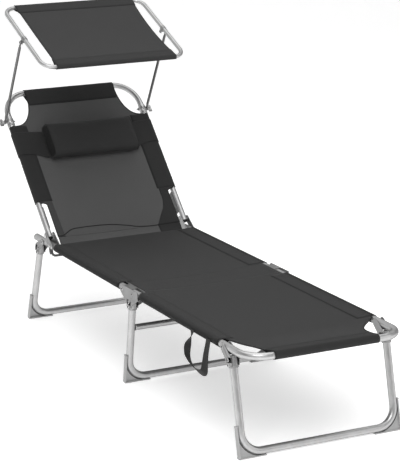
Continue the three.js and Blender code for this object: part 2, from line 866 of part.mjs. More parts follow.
function ribbonSolid() {
  const count = webAlongShares.length;
  const outside = -(railX + sleeveTop / Math.cos(Math.PI / tubeSides) + seatGap + webThick / 2);
  const places = webAlongShares.map((share, i) =>
    point(
      outside - webSpread * webSpreadShares[i],
      webStartY + (webEndY - webStartY) * share,
      railHeight - webAttach - (webDrop + legR - webAttach) * webDropShares[i],
    ),
  );
  const rings = places.map((place, i) => {
    const before = places[Math.max(i - 1, 0)];
    const after = places[Math.min(i + 1, count - 1)];
    const heading = after.clone().sub(before).normalize();
    const out = point(-1, 0, 0);
    out.addScaledVector(heading, -out.dot(heading)).normalize();
    const across = heading.clone().cross(out).normalize();
    const turn = webTwistShares[i] * quarterTurn;
    const wide = across.clone().applyAxisAngle(heading, turn);
    const thick = out.clone().applyAxisAngle(heading, turn);
    return [
      [1, 1],
      [-1, 1],
      [-1, -1],
      [1, -1],
    ].map(([a, b]) => {
      const corner = place.clone().addScaledVector(wide, (a * webWidth) / 2);
      return corner.addScaledVector(thick, (b * webThick) / 2);
    });
  });
  const triangles = [];
  const face = (a, b, c) => triangles.push(a, b, c);
  for (let i = 0; i + 1 < count; i++) {
    for (let k = 0; k < 4; k++) {
      const n = (k + 1) % 4;
      face(rings[i][k], rings[i + 1][k], rings[i][n]);
      face(rings[i][n], rings[i + 1][k], rings[i + 1][n]);
    }
  }
  const end = rings[count - 1];
  face(rings[0][0], rings[0][1], rings[0][2]);
  face(rings[0][0], rings[0][2], rings[0][3]);
  face(end[0], end[2], end[1]);
  face(end[0], end[3], end[2]);
  const geometry = new THREE.BufferGeometry().setFromPoints(triangles);
  return geometry;
}
footFrame.add(mesh("carry_webbing", ribbonSolid(), webbing));

// Front and rear legs
const front = new THREE.Group();
lounger.add(front);
addLeg(front, "front", frontLegTop, frontLegFoot);
addPair(
  front,
  "front_bracket",
  bracketSolid({
    top: frontLegTop,
    foot: frontLegFoot,
    eyes: [{ y: frontPivotY, radius: frontEye }],
    extra: [],
    webs: [
      [frontPivotY - stopWebInset - stopWebLength, frontPivotY - stopWebInset, underRail - plate, underRail],
    ],
  }),
  plateSteel,
);
const rear = new THREE.Group();
lounger.add(rear);
addLeg(rear, "rear", rearLegTop, rearLegFoot);
addPair(
  rear,
  "rear_bracket",
  bracketSolid({
    top: rearLegTop,
    foot: rearLegFoot,
    eyes: [{ y: rearPivotY, radius: rearEye }],
    extra: [],
    webs: [
      [rearPivotY + stopWebInset, rearPivotY + stopWebInset + stopWebLength, underRail - plate, underRail],
    ],
  }),
  plateSteel,
);

// Backrest: its own frame, Y along the side tubes from the pivot and Z out of the front of the cloth
const backrest = new THREE.Group();
backrest.position.set(0, backPivotY, backPivotZ);
backrest.rotation.x = recline;
lounger.add(backrest);

const sideTube = cut(slabY(polygon(backR, tubeSides), backPlug - backTail, backTubeTop).translate(railX, 0, 0), [
  holeX(0, 0, pivotBolt, 0, 2 * railX),
  holeX(boltPlace, -boltOffset, clipScrew, 0, 2 * railX),
]);
addPair(backrest, "side_tube", sideTube, frameSteel);
const plugSolid = slabY(polygon(backR, tubeSides), -backTail, backPlug - backTail - seatGap);
addPair(backrest, "tube_plug", plugSolid.translate(railX, 0, 0), blackPlastic);

const collarBore = slabY(around(backR + seatGap, tubeSides), -railX, bowTop).translate(railX, 0, 0);
const collarStart = sleeveEnd + seatGap;
const collarBody = slabY(around(backR + seatGap + collarWall, tubeSides), collarStart, collarStart + collarLength);
addPair(backrest, "collar", cut(collarBody.translate(railX, 0, 0), [collarBore]), brightSteel);

function bowSolid() {
  const bow = sweep(
    polygon(backR, tubeSides),
    [
      point(-railX, backTubeTop + seatGap, 0),
      point(-railX, bowNeck, 0),
      point(-bowHalf, bowTop, 0),
      point(bowHalf, bowTop, 0),
      point(railX, bowNeck, 0),
      point(railX, backTubeTop + seatGap, 0),
    ],
    [bowNeckBend, bowCorner, bowCorner, bowNeckBend],
  );
  const wide = around(backR + seatGap + bowSocketWall, tubeSides);
  const sockets = sides.map(({ sign }) =>
    cut(slabY(wide, bowSocketStart, bowNeck).translate(sign * railX, 0, 0), [
      slabY(around(backR + seatGap, tubeSides), bowSocketStart - overrun, backTubeTop + seatGap).translate(
        sign * railX,
        0,
        0,
      ),
    ]),
  );
  return cut(join([bow, ...sockets]), [holeX(boltPlace, -boltOffset, clipScrew, -2 * railX, 2 * railX)]);
}
backrest.add(mesh("bow", bowSolid(), frameSteel));

// Racks: a strip with rounded teeth towards the rear
function rackSolid() {
  const line = [new THREE.Vector2(rackStart, rackFront), new THREE.Vector2(rackStart, -rackBack)];
  for (const s of toothPlaces) {
    line.push(new THREE.Vector2(s - toothHalf, -rackBack));
    line.push(new THREE.Vector2(s - toothHalf / 2, -toothTip));
    line.push(new THREE.Vector2(s + toothHalf / 2, -toothTip));
    line.push(new THREE.Vector2(s + toothHalf, -rackBack));
  }
  line.push(new THREE.Vector2(rackEnd, -rackBack));
  line.push(new THREE.Vector2(rackEnd, rackFront));
  return slabX(line, railX - rackInner - rackPlate, railX - rackInner);
}
addPair(backrest, "rack", rackSolid(), plateSteel);

const backSleeveTop = backR + seatGap + cloth;
const backHeight = (x, y) =>
  backSleeveTop - droop(x, railX) * ease((bowTop - y) / sagRun) * ease((y - tongueEnd + sagRun) / sagRun);
const shoulderShares = [
  [0.93, 0.06],
  [0.83, 0.22],
  [0.75, 0.45],
  [0.705, 0.7],
];
const shoulderRun = bowTop - sleeveEnd;
const collarInside = railX - (backR + seatGap + collarWall) / Math.cos(Math.PI / tubeSides) - seatGap;
const backOutline = [
  [tongueHalf, tongueEnd],
  [tongueHalf, sleeveStart - tongueStep],
  [railX, sleeveStart],
  [railX, sleeveEnd],
  [collarInside, sleeveEnd],
  ...shoulderShares.map(([x, y]) => [x * railX, sleeveEnd + y * shoulderRun]),
  [bowSleeveHalf, bowTop - backSleeveTop],
  [bowSleeveHalf, bowTop],
];
const backSheet = trimmed(sheet(railX, tongueEnd, bowTop, backHeight, 2 * clothRows), backOutline);
const bowSleeve = slabX(around(backSleeveTop, tubeSides), -bowSleeveHalf, bowSleeveHalf);
const bowBore = slabX(around(backR + seatGap, tubeSides), -railX, railX);
const backCover = cut(
  join([
    backSheet,
    bowSleeve.translate(0, bowTop, 0),
    sleeveY(railX, backR, sleeveStart, sleeveEnd),
    sleeveY(-railX, backR, sleeveStart, sleeveEnd),
  ]),
  [
    bowBore.translate(0, bowTop, 0),
    boreY(railX, backR, sleeveStart, sleeveEnd),
    boreY(-railX, backR, sleeveStart, sleeveEnd),
  ],
);
backrest.add(mesh("back_cloth", backCover, backCloth));

// Pillow: crowned, sides drawn in between the corners, resting on the cloth
function pillowSolid() {
  const columns = 2 * clothColumns;
  const form = new THREE.BoxGeometry(1, 1, 1, columns, clothColumns, 2);
  const places = form.getAttribute("position");
  const middleY = (pillowStart + pillowEnd) / 2;
  const halfY = (pillowEnd - pillowStart) / 2;
  for (let i = 0; i < places.count; i++) {
    const u = Math.sin(2 * places.getX(i) * quarterTurn);
    const v = Math.sin(2 * places.getY(i) * quarterTurn);
    const x = u * (pillowHalf - pillowDraw * (1 - v * v));
    const y = middleY + v * (halfY - pillowDraw * (1 - u * u));
    const swell = Math.sqrt(Math.max((1 - pillowEndShare * u ** 8) * (1 - v ** 4), 0));
    const base = backHeight(x, y) + seatGap + pillowLift * (1 - swell);
    const thick = pillowSeam + (pillowThick - pillowSeam) * swell;
    places.setXYZ(i, x, y, base + thick * (places.getZ(i) + 1 / 2));
  }
  return form;
}
backrest.add(mesh("pillow", pillowSolid(), pillowCloth));

// Band: from the pillow's ends round both side tubes and across the back
function bandSolid() {
  const inner = backSleeveTop / Math.cos(Math.PI / tubeSides) + seatGap;
  const outer = inner + cloth;
  const start = pillowHalf + seatGap;
  const arc = (radius) => {
    const line = [];
    for (let k = 0; k <= tubeSides / 2; k++) {
      const turn = quarterTurn - (k * 2 * Math.PI) / tubeSides;
      line.push([railX + radius * Math.cos(turn), radius * Math.sin(turn)]);
    }
    return line;
  };
  const outside = [[start, outer], ...arc(outer)];
  const inside = [[start, inner], ...arc(inner)];
  const ring = mirroredOutline(outside);
  const back = mirroredOutline(inside);
  const line = [...ring.slice(0, outside.length), ...ring.slice(outside.length), ...back.reverse()];
  return slabY(line, bandStart, bandEnd);
}
backrest.add(mesh("pillow_band", bandSolid(), pillowCloth));

// Pivot bolts of the backrest
const outerFace = railR + seatGap + hingePlate;
const innerFace = hingeLayer + hingeInnerPlate;
const pivotPin = join([
  pinX(0, 0, pivotBolt, railX - innerFace - seatGap - rivetCap, railX + outerFace + seatGap + pivotBoltCap),
  pinX(0, 0, pivotBoltHead, railX + outerFace + seatGap, railX + outerFace + seatGap + pivotBoltCap),
]);
addPair(backrest, "pivot_bolt", pivotPin, brightSteel);

// Shoulder bolts with wing nuts
const rodX = (eyeInner + eyeOuter) / 2;
const hubStart = eyeOuter + seatGap;
const knobPieces = [
  pinX(0, 0, clipScrew, railX - backTube, hubStart + wingHubLength),
  pinX(0, 0, clipScrewHead, railX - backTube, railX - backR - seatGap - bowSocketWall - seatGap),
  pinX(0, 0, clipScrewHead, bowSkin, eyeInner - seatGap),
  pinX(0, 0, wingHub, hubStart, hubStart + wingHubLength, tubeSides),
];
for (const sign of [-1, 1]) {
  const wing = slabX(
    [
      new THREE.Vector2(0, -wingThick / 2),
      new THREE.Vector2(wingSpan / 2, -wingThick / 2),
      new THREE.Vector2(wingSpan / 2, wingThick / 2),
      new THREE.Vector2(0, wingThick / 2),
    ],
    hubStart + wingHubLength / 2,
    hubStart + wingHubLength / 2 + wingDepth,
  );
  knobPieces.push(sign > 0 ? wing : wing.rotateX(2 * quarterTurn));
}
const knob = join(knobPieces).translate(0, boltPlace, -boltOffset);
addPair(backrest, "shoulder_bolt", knob, plateSteel);

// Stay: two lever plates with pins and a bent rod under the seat
const stay = new THREE.Group();
stay.position.set(0, stayPivotY, stayPivotZ);
lounger.add(stay);
const polar = (length, angle) => [length * Math.cos(angle), length * Math.sin(angle)];
const stayTip = polar(stayReach, stayAngle);
const stayFoot = polar(stayDrop, stayDropAngle);
const stayHalf = stayWidth / 2;
const stayInner = railX - stayLayer - stayPlate;
const stayLever = join([
  slabX(hull([...discAt(0, 0, stayEyeRadius), ...discAt(...stayTip, stayHalf)]), stayInner, railX - stayLayer),
  slabX(hull([...discAt(0, 0, stayEyeRadius), ...discAt(...stayFoot, stayHalf)]), stayInner, railX - stayLayer),
  pinX(...stayTip, stayPin, stayInner, railX - rackInner - seatGap),
  pinX(0, 0, stayPin, stayInner, railX - hingeLayer),
  pinX(0, 0, rivetHead, stayInner - rivetCap, stayInner + stayPlate / 2),
]);
addPair(stay, "stay_lever", stayLever, plateSteel);
const rodSide = stayInner - seatGap - stayRod / 2;
const rodLow = polar(stayRodDrop, stayDropAngle);
const rodHigh = polar(stayRodDrop / 2, stayDropAngle);
const rodPath = [
  point(-rodSide, ...rodHigh),
  point(-rodSide, ...rodLow),
  point(rodSide, ...rodLow),
  point(rodSide, ...rodHigh),
];
stay.add(mesh("stay_rod", sweep(polygon(stayRod / 2, rodSides), rodPath, [stayRodCorner, stayRodCorner]), plateSteel));

// Canopy rods: round rods with flattened, drilled ends
const arms = new THREE.Group();
const boltAt = point(0, boltPlace, -boltOffset).applyAxisAngle(point(1, 0, 0), recline);
arms.position.set(0, backPivotY + boltAt.y, backPivotZ + boltAt.z);
arms.rotation.x = canopyRodLean - quarterTurn;
lounger.add(arms);
const rodBody = extrude(polygon(canopyRod / 2, rodSides), canopyRodLength - 2 * eyeLength);
const rodPieces = [rodBody.translate(rodX, 0, eyeLength)];
for (const [centre, sign] of [
  [0, 1],
  [canopyRodLength, -1],
]) {
  const neck = canopyRod / 2;
  const outline = hull([
    ...discAt(0, centre, eyeRadius),
    new THREE.Vector2(-neck, centre + sign * (eyeLength + overrun)),
    new THREE.Vector2(neck, centre + sign * (eyeLength + overrun)),
  ]);
  rodPieces.push(slabX(outline, eyeInner, eyeOuter));
}
const rodSolid = cut(join(rodPieces), [
  holeX(0, 0, clipScrew, eyeInner - overrun, eyeOuter + overrun),
  holeX(0, canopyRodLength, clipScrew, eyeInner - overrun, eyeOuter + overrun),
]);
addPair(arms, "canopy_rod", rodSolid, frameSteel);

// Canopy: its own frame at the clips, Y along the slope and Z out of the top
const canopy = new THREE.Group();
const armTip = polar(canopyRodLength, canopyRodLean);
const rise = point(0, 0, clipDrop).applyAxisAngle(point(1, 0, 0), canopySlope);
canopy.position.set(0, arms.position.y + armTip[0] + rise.y, arms.position.z + armTip[1] + rise.z);
canopy.rotation.x = canopySlope;
lounger.add(canopy);

const hoop = sweep(
  polygon(canopyR, hoopSides),
  [
    point(canopyJoint / 2, canopyRear, 0),
    point(canopyHalf, canopyRear, 0),
    point(canopyHalf, canopyFront, 0),
    point(-canopyHalf, canopyFront, 0),
    point(-canopyHalf, canopyRear, 0),
    point(-canopyJoint / 2, canopyRear, 0),
  ],
  [canopyCorner, canopyCorner, canopyCorner, canopyCorner],
);
canopy.add(mesh("canopy_frame", hoop, frameSteel));

const canopyTop = canopyR + seatGap + cloth;
const canopyMiddle = (canopyFront + canopyRear) / 2;
const canopySpan = (canopyRear - canopyFront) / 2;
const canopyHeight = (x, y) => canopyTop - canopySag * Math.max(1 - ((y - canopyMiddle) / canopySpan) ** 2, 0);
const canopySheet = sheet(canopyClothHalf, canopyFront, canopyRear, canopyHeight, 2 * clothRows);
const hemRing = (y) => slabX(around(canopyTop, hoopSides), -canopyClothHalf, canopyClothHalf).translate(0, y, 0);
const hemBore = (y) => slabX(around(canopyR + seatGap, hoopSides), -canopyHalf, canopyHalf).translate(0, y, 0);
const canopyCover = cut(join([canopySheet, hemRing(canopyFront), hemRing(canopyRear)]), [
  hemBore(canopyFront),
  hemBore(canopyRear),
]);
canopy.add(mesh("canopy_cloth", canopyCover, canopyCloth));

// Clips: a strap over the side of the frame, its two ears held by a screw under the tube
function clipSolid() {
  const inner = canopyR + seatGap;
  const outer = inner + clipWall;
  const low = -clipDrop - clipFoot;
  const over = (radius) => {
    const line = [];
    const steps = tubeSides / 2;
    for (let k = 0; k <= steps; k++) {
      const turn = (Math.PI * k) / steps;
      line.push(new THREE.Vector2(radius * Math.cos(turn), radius * Math.sin(turn)));
    }
    return line;
  };
  const shell = [new THREE.Vector2(outer, low), ...over(outer), new THREE.Vector2(-outer, low)];
  const room = inner / Math.cos(Math.PI / tubeSides);
  const hollow = [new THREE.Vector2(inner, low - overrun), ...over(room), new THREE.Vector2(-inner, low - overrun)];
  const half = clipLength / 2;
  const strap = cut(slabY(shell, -half, half), [slabY(hollow, -half - overrun, half + overrun)]);
  strap.translate(canopyHalf, 0, 0);
  const face = eyeOuter + seatGap;
  return join([
    strap,
    pinX(0, -clipDrop, clipScrew, canopyHalf - outer - clipScrewCap, face + clipScrewCap),
    pinX(0, -clipDrop, clipScrewHead, canopyHalf - outer - clipScrewCap, canopyHalf - outer + clipWall / 2),
    pinX(0, -clipDrop, clipScrewHead, face, face + clipScrewCap),
  ]);
}
addPair(canopy, "canopy_clip", clipSolid(), plateSteel);

// The part's frame: floor at z = 0, midway between its ends
const part = new THREE.Group();
part.add(lounger);
lounger.updateMatrixWorld(true);
const extent = new THREE.Box3().setFromObject(lounger, true);
lounger.position.set(0, -(extent.min.y + extent.max.y) / 2, -extent.min.z);

export default part;
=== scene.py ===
import json
import math

import bmesh
import bpy
from mathutils import Matrix, Vector
from mathutils.bvhtree import BVHTree

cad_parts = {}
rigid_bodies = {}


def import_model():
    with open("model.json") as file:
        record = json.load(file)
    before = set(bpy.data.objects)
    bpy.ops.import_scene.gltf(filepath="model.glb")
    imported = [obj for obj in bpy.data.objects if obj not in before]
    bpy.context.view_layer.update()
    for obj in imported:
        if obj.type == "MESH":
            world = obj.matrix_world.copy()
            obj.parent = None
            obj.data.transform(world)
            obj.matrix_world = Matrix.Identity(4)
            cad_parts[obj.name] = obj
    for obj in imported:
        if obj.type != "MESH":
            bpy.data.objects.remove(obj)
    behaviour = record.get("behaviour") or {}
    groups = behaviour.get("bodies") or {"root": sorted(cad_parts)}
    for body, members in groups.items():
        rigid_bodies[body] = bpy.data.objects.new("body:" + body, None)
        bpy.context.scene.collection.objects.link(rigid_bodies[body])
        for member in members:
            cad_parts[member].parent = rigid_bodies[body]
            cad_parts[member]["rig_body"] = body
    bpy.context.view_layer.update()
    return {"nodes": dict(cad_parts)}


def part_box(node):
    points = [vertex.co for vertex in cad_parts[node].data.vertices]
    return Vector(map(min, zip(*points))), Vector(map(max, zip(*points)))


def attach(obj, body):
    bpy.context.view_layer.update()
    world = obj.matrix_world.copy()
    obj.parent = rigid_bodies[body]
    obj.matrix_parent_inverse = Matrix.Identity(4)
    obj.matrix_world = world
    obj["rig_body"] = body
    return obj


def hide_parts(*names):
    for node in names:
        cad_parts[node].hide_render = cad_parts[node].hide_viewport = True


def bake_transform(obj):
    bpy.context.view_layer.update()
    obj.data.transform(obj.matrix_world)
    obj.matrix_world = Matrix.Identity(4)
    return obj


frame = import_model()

bl_info = {
    "name": "Sun lounger with canopy",
    "version": (1, 0, 0),
    "blender": (4, 5, 0),
    "location": "3D View > Sidebar > Lounger",
    "description": "Builds a folding sun lounger with pillow and canopy round its packed frame",
    "category": "Object",
}

# Frame sizes, in millimetres and radians; S and T stand for Y and Z in the backrest's own frame
MM = 0.001
SIDES = (("left", -1), ("right", 1))
RAIL_X, RAIL_Z, RAIL_R = 247.0, 296.0, 11.0
BACK_R = 9.5
CANOPY_R = 7.0
GAP = 0.3
PLATE_OUT, PLATE_THICK = 13.5, 2
FOOT_BAR_Y = -720.5
SEAT_PIVOT, FOOT_PIVOT, FRONT_PIVOT, REAR_PIVOT = 57.0, -13.0, -588.0, 672.0
BACK_Y, BACK_Z = 639.4, 324.0
RECLINE = math.radians(45.45)
STAY_Y, STAY_Z = 684.0, 294.0
STAY_DROP = math.radians(-103.5)
BOLT_S, BOLT_T = 454.0, -4.0
BOW_S = 559.9
ROD_X, ROD_LENGTH = 264.23, 332.0
ROD_LEAN = math.radians(117.85)
CANOPY_SLOPE = math.radians(23.0)
CANOPY_HALF = 252.53
CANOPY_FRONT, CANOPY_REAR = -176.0, 196.0
CANOPY_MIDDLE = (CANOPY_FRONT + CANOPY_REAR) / 2
CANOPY_SPAN = (CANOPY_REAR - CANOPY_FRONT) / 2
CLIP_DROP = 10.5
LEGS = {
    "front": ((-624.5, 276.0), (-686.7, 14.8)),
    "middle": ((8.0, 272.0), (42.7, 14.8)),
    "rear": ((712.3, 276.0), (795.3, 14.8)),
}
SOCKET_SIDE = {"front": 6, "middle": 3, "rear": -6}  # distance of the socket's rivets from the leg's axis
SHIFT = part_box("foot_tube")[0].y - (FOOT_BAR_Y - RAIL_R) * MM

# Cloth sizes, in millimetres: COLUMNS is the number of faces across, LIFT the height of hems above the cloth
COLUMNS = 40
MID = GAP + 0.75
SEAT_RADIUS, BACK_RADIUS = RAIL_R + MID, BACK_R + MID
INSIDE = RAIL_X - PLATE_OUT - 0.4
SAG, SAG_REACH = 9.0, 150
HINGE_HALF = 17.0
CREASE, CREASE_Y = 3.7, 602.0
TONGUE, TONGUE_TOP, BACK_LOW = 222, 109, -16.0
SLEEVE_LOW, SLEEVE_TOP = 124, 426
LIFT = 0.8
UNDER_REACH = 36.0
STITCH_ROWS = (2.5, 7.0)
CANOPY_CLOTH = 212.03
PILLOW_S = 339.0
PILLOW_LIFT = 2.0

# Cloth sizes in metres: the first is how far past a hem the painted shade of a woven cloth begins, and how
# long it takes to darken; the last two are places on the pillow's UV map, where the painted shade of its end
# panels begins and where these panels lie
SHADE_RAMP = 0.008
HEM_THICK = 0.0006
PILLOW_BULGE = 0.003
PANEL_SHADE_U, PANEL_U = 0.292, 0.4


def tilted(y, z, angle=0.0):
    """Matrix from a piece's own frame, in millimetres, to the lounger's frame, in metres."""
    place = Matrix.Translation((0, y * MM + SHIFT, z * MM))
    return place @ Matrix.Rotation(angle, 4, "X") @ Matrix.Scale(MM, 4)


def leg_lean(name):
    top, foot = LEGS[name]
    return -math.atan2(top[0] - foot[0], top[1] - foot[1])


def leg_frame(name):
    return tilted(*LEGS[name][1], leg_lean(name))


def on_leg(name, v, w):
    """Place (y, z) beside a leg: v across it, w up along it from its foot."""
    y, z = LEGS[name][1]
    c, s = math.cos(leg_lean(name)), math.sin(leg_lean(name))
    return y + v * c - w * s, z + v * s + w * c


def on_back(s, t):
    """Place (y, z) of a point in the backrest's own frame."""
    c, d = math.cos(RECLINE), math.sin(RECLINE)
    return BACK_Y + s * c - t * d, BACK_Z + s * d + t * c


GROUND = tilted(0, 0)
RAILS = tilted(0, RAIL_Z)
BACK = tilted(BACK_Y, BACK_Z, RECLINE)
STAY = tilted(STAY_Y, STAY_Z)
BOLT_Y, BOLT_Z = on_back(BOLT_S, BOLT_T)
ARMS = tilted(BOLT_Y, BOLT_Z, ROD_LEAN - math.pi / 2)
CANOPY = tilted(
    BOLT_Y + ROD_LENGTH * math.cos(ROD_LEAN) - CLIP_DROP * math.sin(CANOPY_SLOPE),
    BOLT_Z + ROD_LENGTH * math.sin(ROD_LEAN) + CLIP_DROP * math.cos(CANOPY_SLOPE),
    CANOPY_SLOPE,
)


def tint(code):
    """Linear colour of a six-digit sRGB code."""
    parts = [int(code[i:i + 2], 16) / 255 for i in (0, 2, 4)]
    return [p / 12.92 if p <= 0.04045 else ((p + 0.055) / 1.055) ** 2.4 for p in parts]


def colour(label, code, note):
    return bpy.props.FloatVectorProperty(
        name=label, description=note, default=tint(code), size=3, min=0, max=1, subtype="COLOR"
    )


def length(label, value, note):
    return bpy.props.FloatProperty(
        name=label, description=note, default=value, min=0, unit="LENGTH", precision=4
    )


class LoungerSizes(bpy.types.PropertyGroup):
    """Sizes that a user may change"""

    cloth: length("Cloth thickness", 0.0010, "Thickness of the woven cloths")
    weave: length("Weave pitch", 0.0016, "Distance between threads of the mesh cloth")
    canopy_weave: length("Fine weave pitch", 0.0009, "Distance between threads of the dense cloths")
    seat_hem: length("Seat sleeve hem", 0.036, "Width of the hem inside the seat rails")
    back_hem: length("Backrest sleeve hem", 0.054, "Width of the hem inside the backrest tubes")
    canopy_hem: length("Canopy hem", 0.040, "Width of the hems round the canopy tube")
    stitch_pitch: length("Stitch pitch", 0.0042, "Distance from stitch to stitch")
    stitch_length: length("Stitch length", 0.0030, "Length of one stitch")
    stitch_width: length("Stitch width", 0.0007, "Thickness of the thread")
    rivet: length("Rivet head", 0.0112, "Diameter of the rivet heads")
    rivet_height: length("Rivet height", 0.0019, "Height of the rivet heads")
    edge: length("Plate edge", 0.0006, "Rounding along the edges of stamped plates")
    fill: bpy.props.FloatProperty(
        name="Pillow fill", description="How tight the pillow is stuffed", default=0.7, min=0, max=1
    )


class LoungerColours(bpy.types.PropertyGroup):
    """Colours that a user may change"""

    frame: colour("Frame", "C4C4C4", "Coated steel tubes")
    # The stay's darker tone, which the racks share, is painted shade
    plate: colour("Plates", "A9A9A9", "Zinc plated stampings, and darker the rods and the stay")
    bright: colour("Bright steel", "D8D8D8", "Collars, pivot bolts and rivets")
    # The feet colour's dark share is painted shade in the feet's grooves and the rivets' hollows
    plastic: colour("Feet", "ADADAD", "Moulded feet and rail ends, and dark their grooves")
    black: colour("Plugs", "1E1E1E", "Moulded tube plugs")
    seat: colour("Seat cloth", "313131", "Woven cloth of seat and foot section")
    back: colour("Backrest cloth", "525252", "Woven cloth of the backrest")
    # Also the far tongue hem and the lap's far strip, whose widening is painted shade
    hem: colour("Backrest sleeves", "292929", "Dense cloth of the backrest sleeves and the pillow band")
    canopy: colour("Canopy cloth", "3B3B3B", "Plain woven canopy")
    pillow: colour("Pillow", "2D2D2D", "Pillow cover")
    webbing: colour("Webbing", "262626", "Carry strap, edge binding and thread")
    floor: colour("Floor", "F4F4F4", "Studio floor")


# Node helpers
def feed(tree, node, inputs):
    """Gives a node's inputs, by name or number, a value each or a link from a socket."""
    for key, value in inputs.items():
        if isinstance(value, bpy.types.NodeSocket):
            tree.links.new(value, node.inputs[key])
        else:
            node.inputs[key].default_value = value
    return node


def make(tree, kind, inputs, **settings):
    """New node. Its settings come first, since they decide which inputs it has."""
    node = tree.nodes.new(kind)
    for key, value in settings.items():
        setattr(node, key, value)
    return feed(tree, node, inputs)


def math_node(tree, operation, *values):
    return make(tree, "ShaderNodeMath", dict(enumerate(values)), operation=operation).outputs[0]


def coordinates(tree, kind):
    return tree.nodes.new("ShaderNodeTexCoord").outputs[kind]


def noise(tree, scale, detail=3.0, coordinate="Object", stretch=None):
    source = coordinates(tree, coordinate)
    if stretch:
        source = make(tree, "ShaderNodeMapping", {"Vector": source, "Scale": stretch}).outputs[0]
    inputs = {"Vector": source, "Scale": scale, "Detail": detail}
    return make(tree, "ShaderNodeTexNoise", inputs).outputs["Fac"]


def mixed(tree, factor, first, second):
    mix = make(tree, "ShaderNodeMix", {"Factor": factor, "A": first, "B": second}, data_type="RGBA")
    return mix.outputs["Result"]


def shade_range(tree, factor, color, low, high):
    """Colour between low and high times the base colour, following a factor."""
    return mixed(tree, factor, (*[c * low for c in color], 1), (*[min(c * high, 1) for c in color], 1))


def to_range(tree, factor, low, high, from_low=0.3, from_high=0.7):
    inputs = {"Value": factor, "From Min": from_low, "From Max": from_high, "To Min": low, "To Max": high}
    return make(tree, "ShaderNodeMapRange", inputs).outputs[0]


def bump(tree, height, strength, distance):
    inputs = {"Height": height, "Strength": strength, "Distance": distance}
    return make(tree, "ShaderNodeBump", inputs).outputs[0]


# Materials
def shader(name, color, roughness, metallic=0.0):
    material = bpy.data.materials.new(name)
    material.use_nodes = True
    tree = material.node_tree
    bsdf = feed(tree, tree.nodes["Principled BSDF"],
                {"Base Color": (*color, 1), "Roughness": roughness, "Metallic": metallic})
    return material, tree, bsdf


def metal(name, color, roughness, metallic, grain, uneven=0.10, scratch=0.05):
    """Coated or plated metal: fine texture, cloudy gloss, faint handling marks."""
    material, tree, bsdf = shader(name, color, roughness, metallic)
    cloud = noise(tree, 14, 4)
    marks = noise(tree, 90, 2, stretch=(1, 0.12, 0.5))
    both = to_range(tree, math_node(tree, "MULTIPLY", cloud, marks), 0, 1, 0.12, 0.4)
    feed(tree, bsdf, {
        "Specular Tint": (0.22, 0.22, 0.22, 1),
        "Base Color": shade_range(tree, both, color, 1 - uneven, 1 + uneven / 2),
        "Roughness": to_range(tree, marks, roughness - scratch, roughness + scratch),
        "Normal": bump(tree, noise(tree, grain, 2), 0.12, 0.0002),
    })
    return material


def moulded(name, color, roughness):
    """Moulded plastic: fine grain, slightly uneven gloss."""
    material, tree, bsdf = shader(name, color, roughness)
    cloud = noise(tree, 20, 3)
    feed(tree, bsdf, {
        "Base Color": shade_range(tree, to_range(tree, cloud, 0, 1), color, 0.92, 1.05),
        "Roughness": to_range(tree, cloud, roughness - 0.06, roughness + 0.06),
        "Normal": bump(tree, noise(tree, 2200, 1), 0.15, 0.0002),
    })
    return material


def woven(name, color, pitch, contrast, depth, roughness=0.85, hem=None):
    """Plain weave on the piece's UV map, in metres: over and under threads, cloudy tension marks.
    With a hem's width, in metres, the cloth beyond that hem and a little more is painted down to 0.3 of its
    colour: painted shade on the outer sides and undersides of the seat sleeves and on the pillow's end
    panels."""
    material, tree, bsdf = shader(name, color, roughness)
    cloudy = 0.08
    split = make(tree, "ShaderNodeSeparateXYZ", {0: coordinates(tree, "UV")})
    waves = [
        math_node(tree, "SINE", math_node(tree, "MULTIPLY", split.outputs[i], math.pi / pitch))
        for i in (0, 1)
    ]
    warp, weft = (math_node(tree, "ABSOLUTE", wave) for wave in waves)
    over = math_node(tree, "GREATER_THAN", math_node(tree, "MULTIPLY", *waves), 0.0)
    under = math_node(tree, "SUBTRACT", 1.0, over)
    height = math_node(
        tree, "ADD", math_node(tree, "MULTIPLY", warp, over), math_node(tree, "MULTIPLY", weft, under)
    )
    cloud = math_node(tree, "MULTIPLY", noise(tree, 9, 4, "UV"), 0.6)
    streak = math_node(tree, "MULTIPLY", noise(tree, 40, 3, "UV", (1, 0.05, 1)), 0.4)
    patchy = math_node(tree, "ADD", cloud, streak)
    low, high = (shade_range(tree, patchy, color, middle - cloudy, middle + cloudy)
                 for middle in (1 - contrast, 1 + contrast))
    result = mixed(tree, height, low, high)
    # Painted shade: past the hem the cloth darkens to 0.3 of its colour
    if hem:
        fold = hem + SHADE_RAMP
        painted_shade = to_range(tree, split.outputs[0], 0, 1, fold, fold + SHADE_RAMP)
        result = mixed(tree, painted_shade, result, (*[0.3 * c for c in color], 1))
    feed(tree, bsdf, {
        "Sheen Weight": 0.04, "Sheen Roughness": 0.5, "Specular IOR Level": 0.22,
        "Base Color": result, "Normal": bump(tree, height, 0.5, depth),
    })
    return material


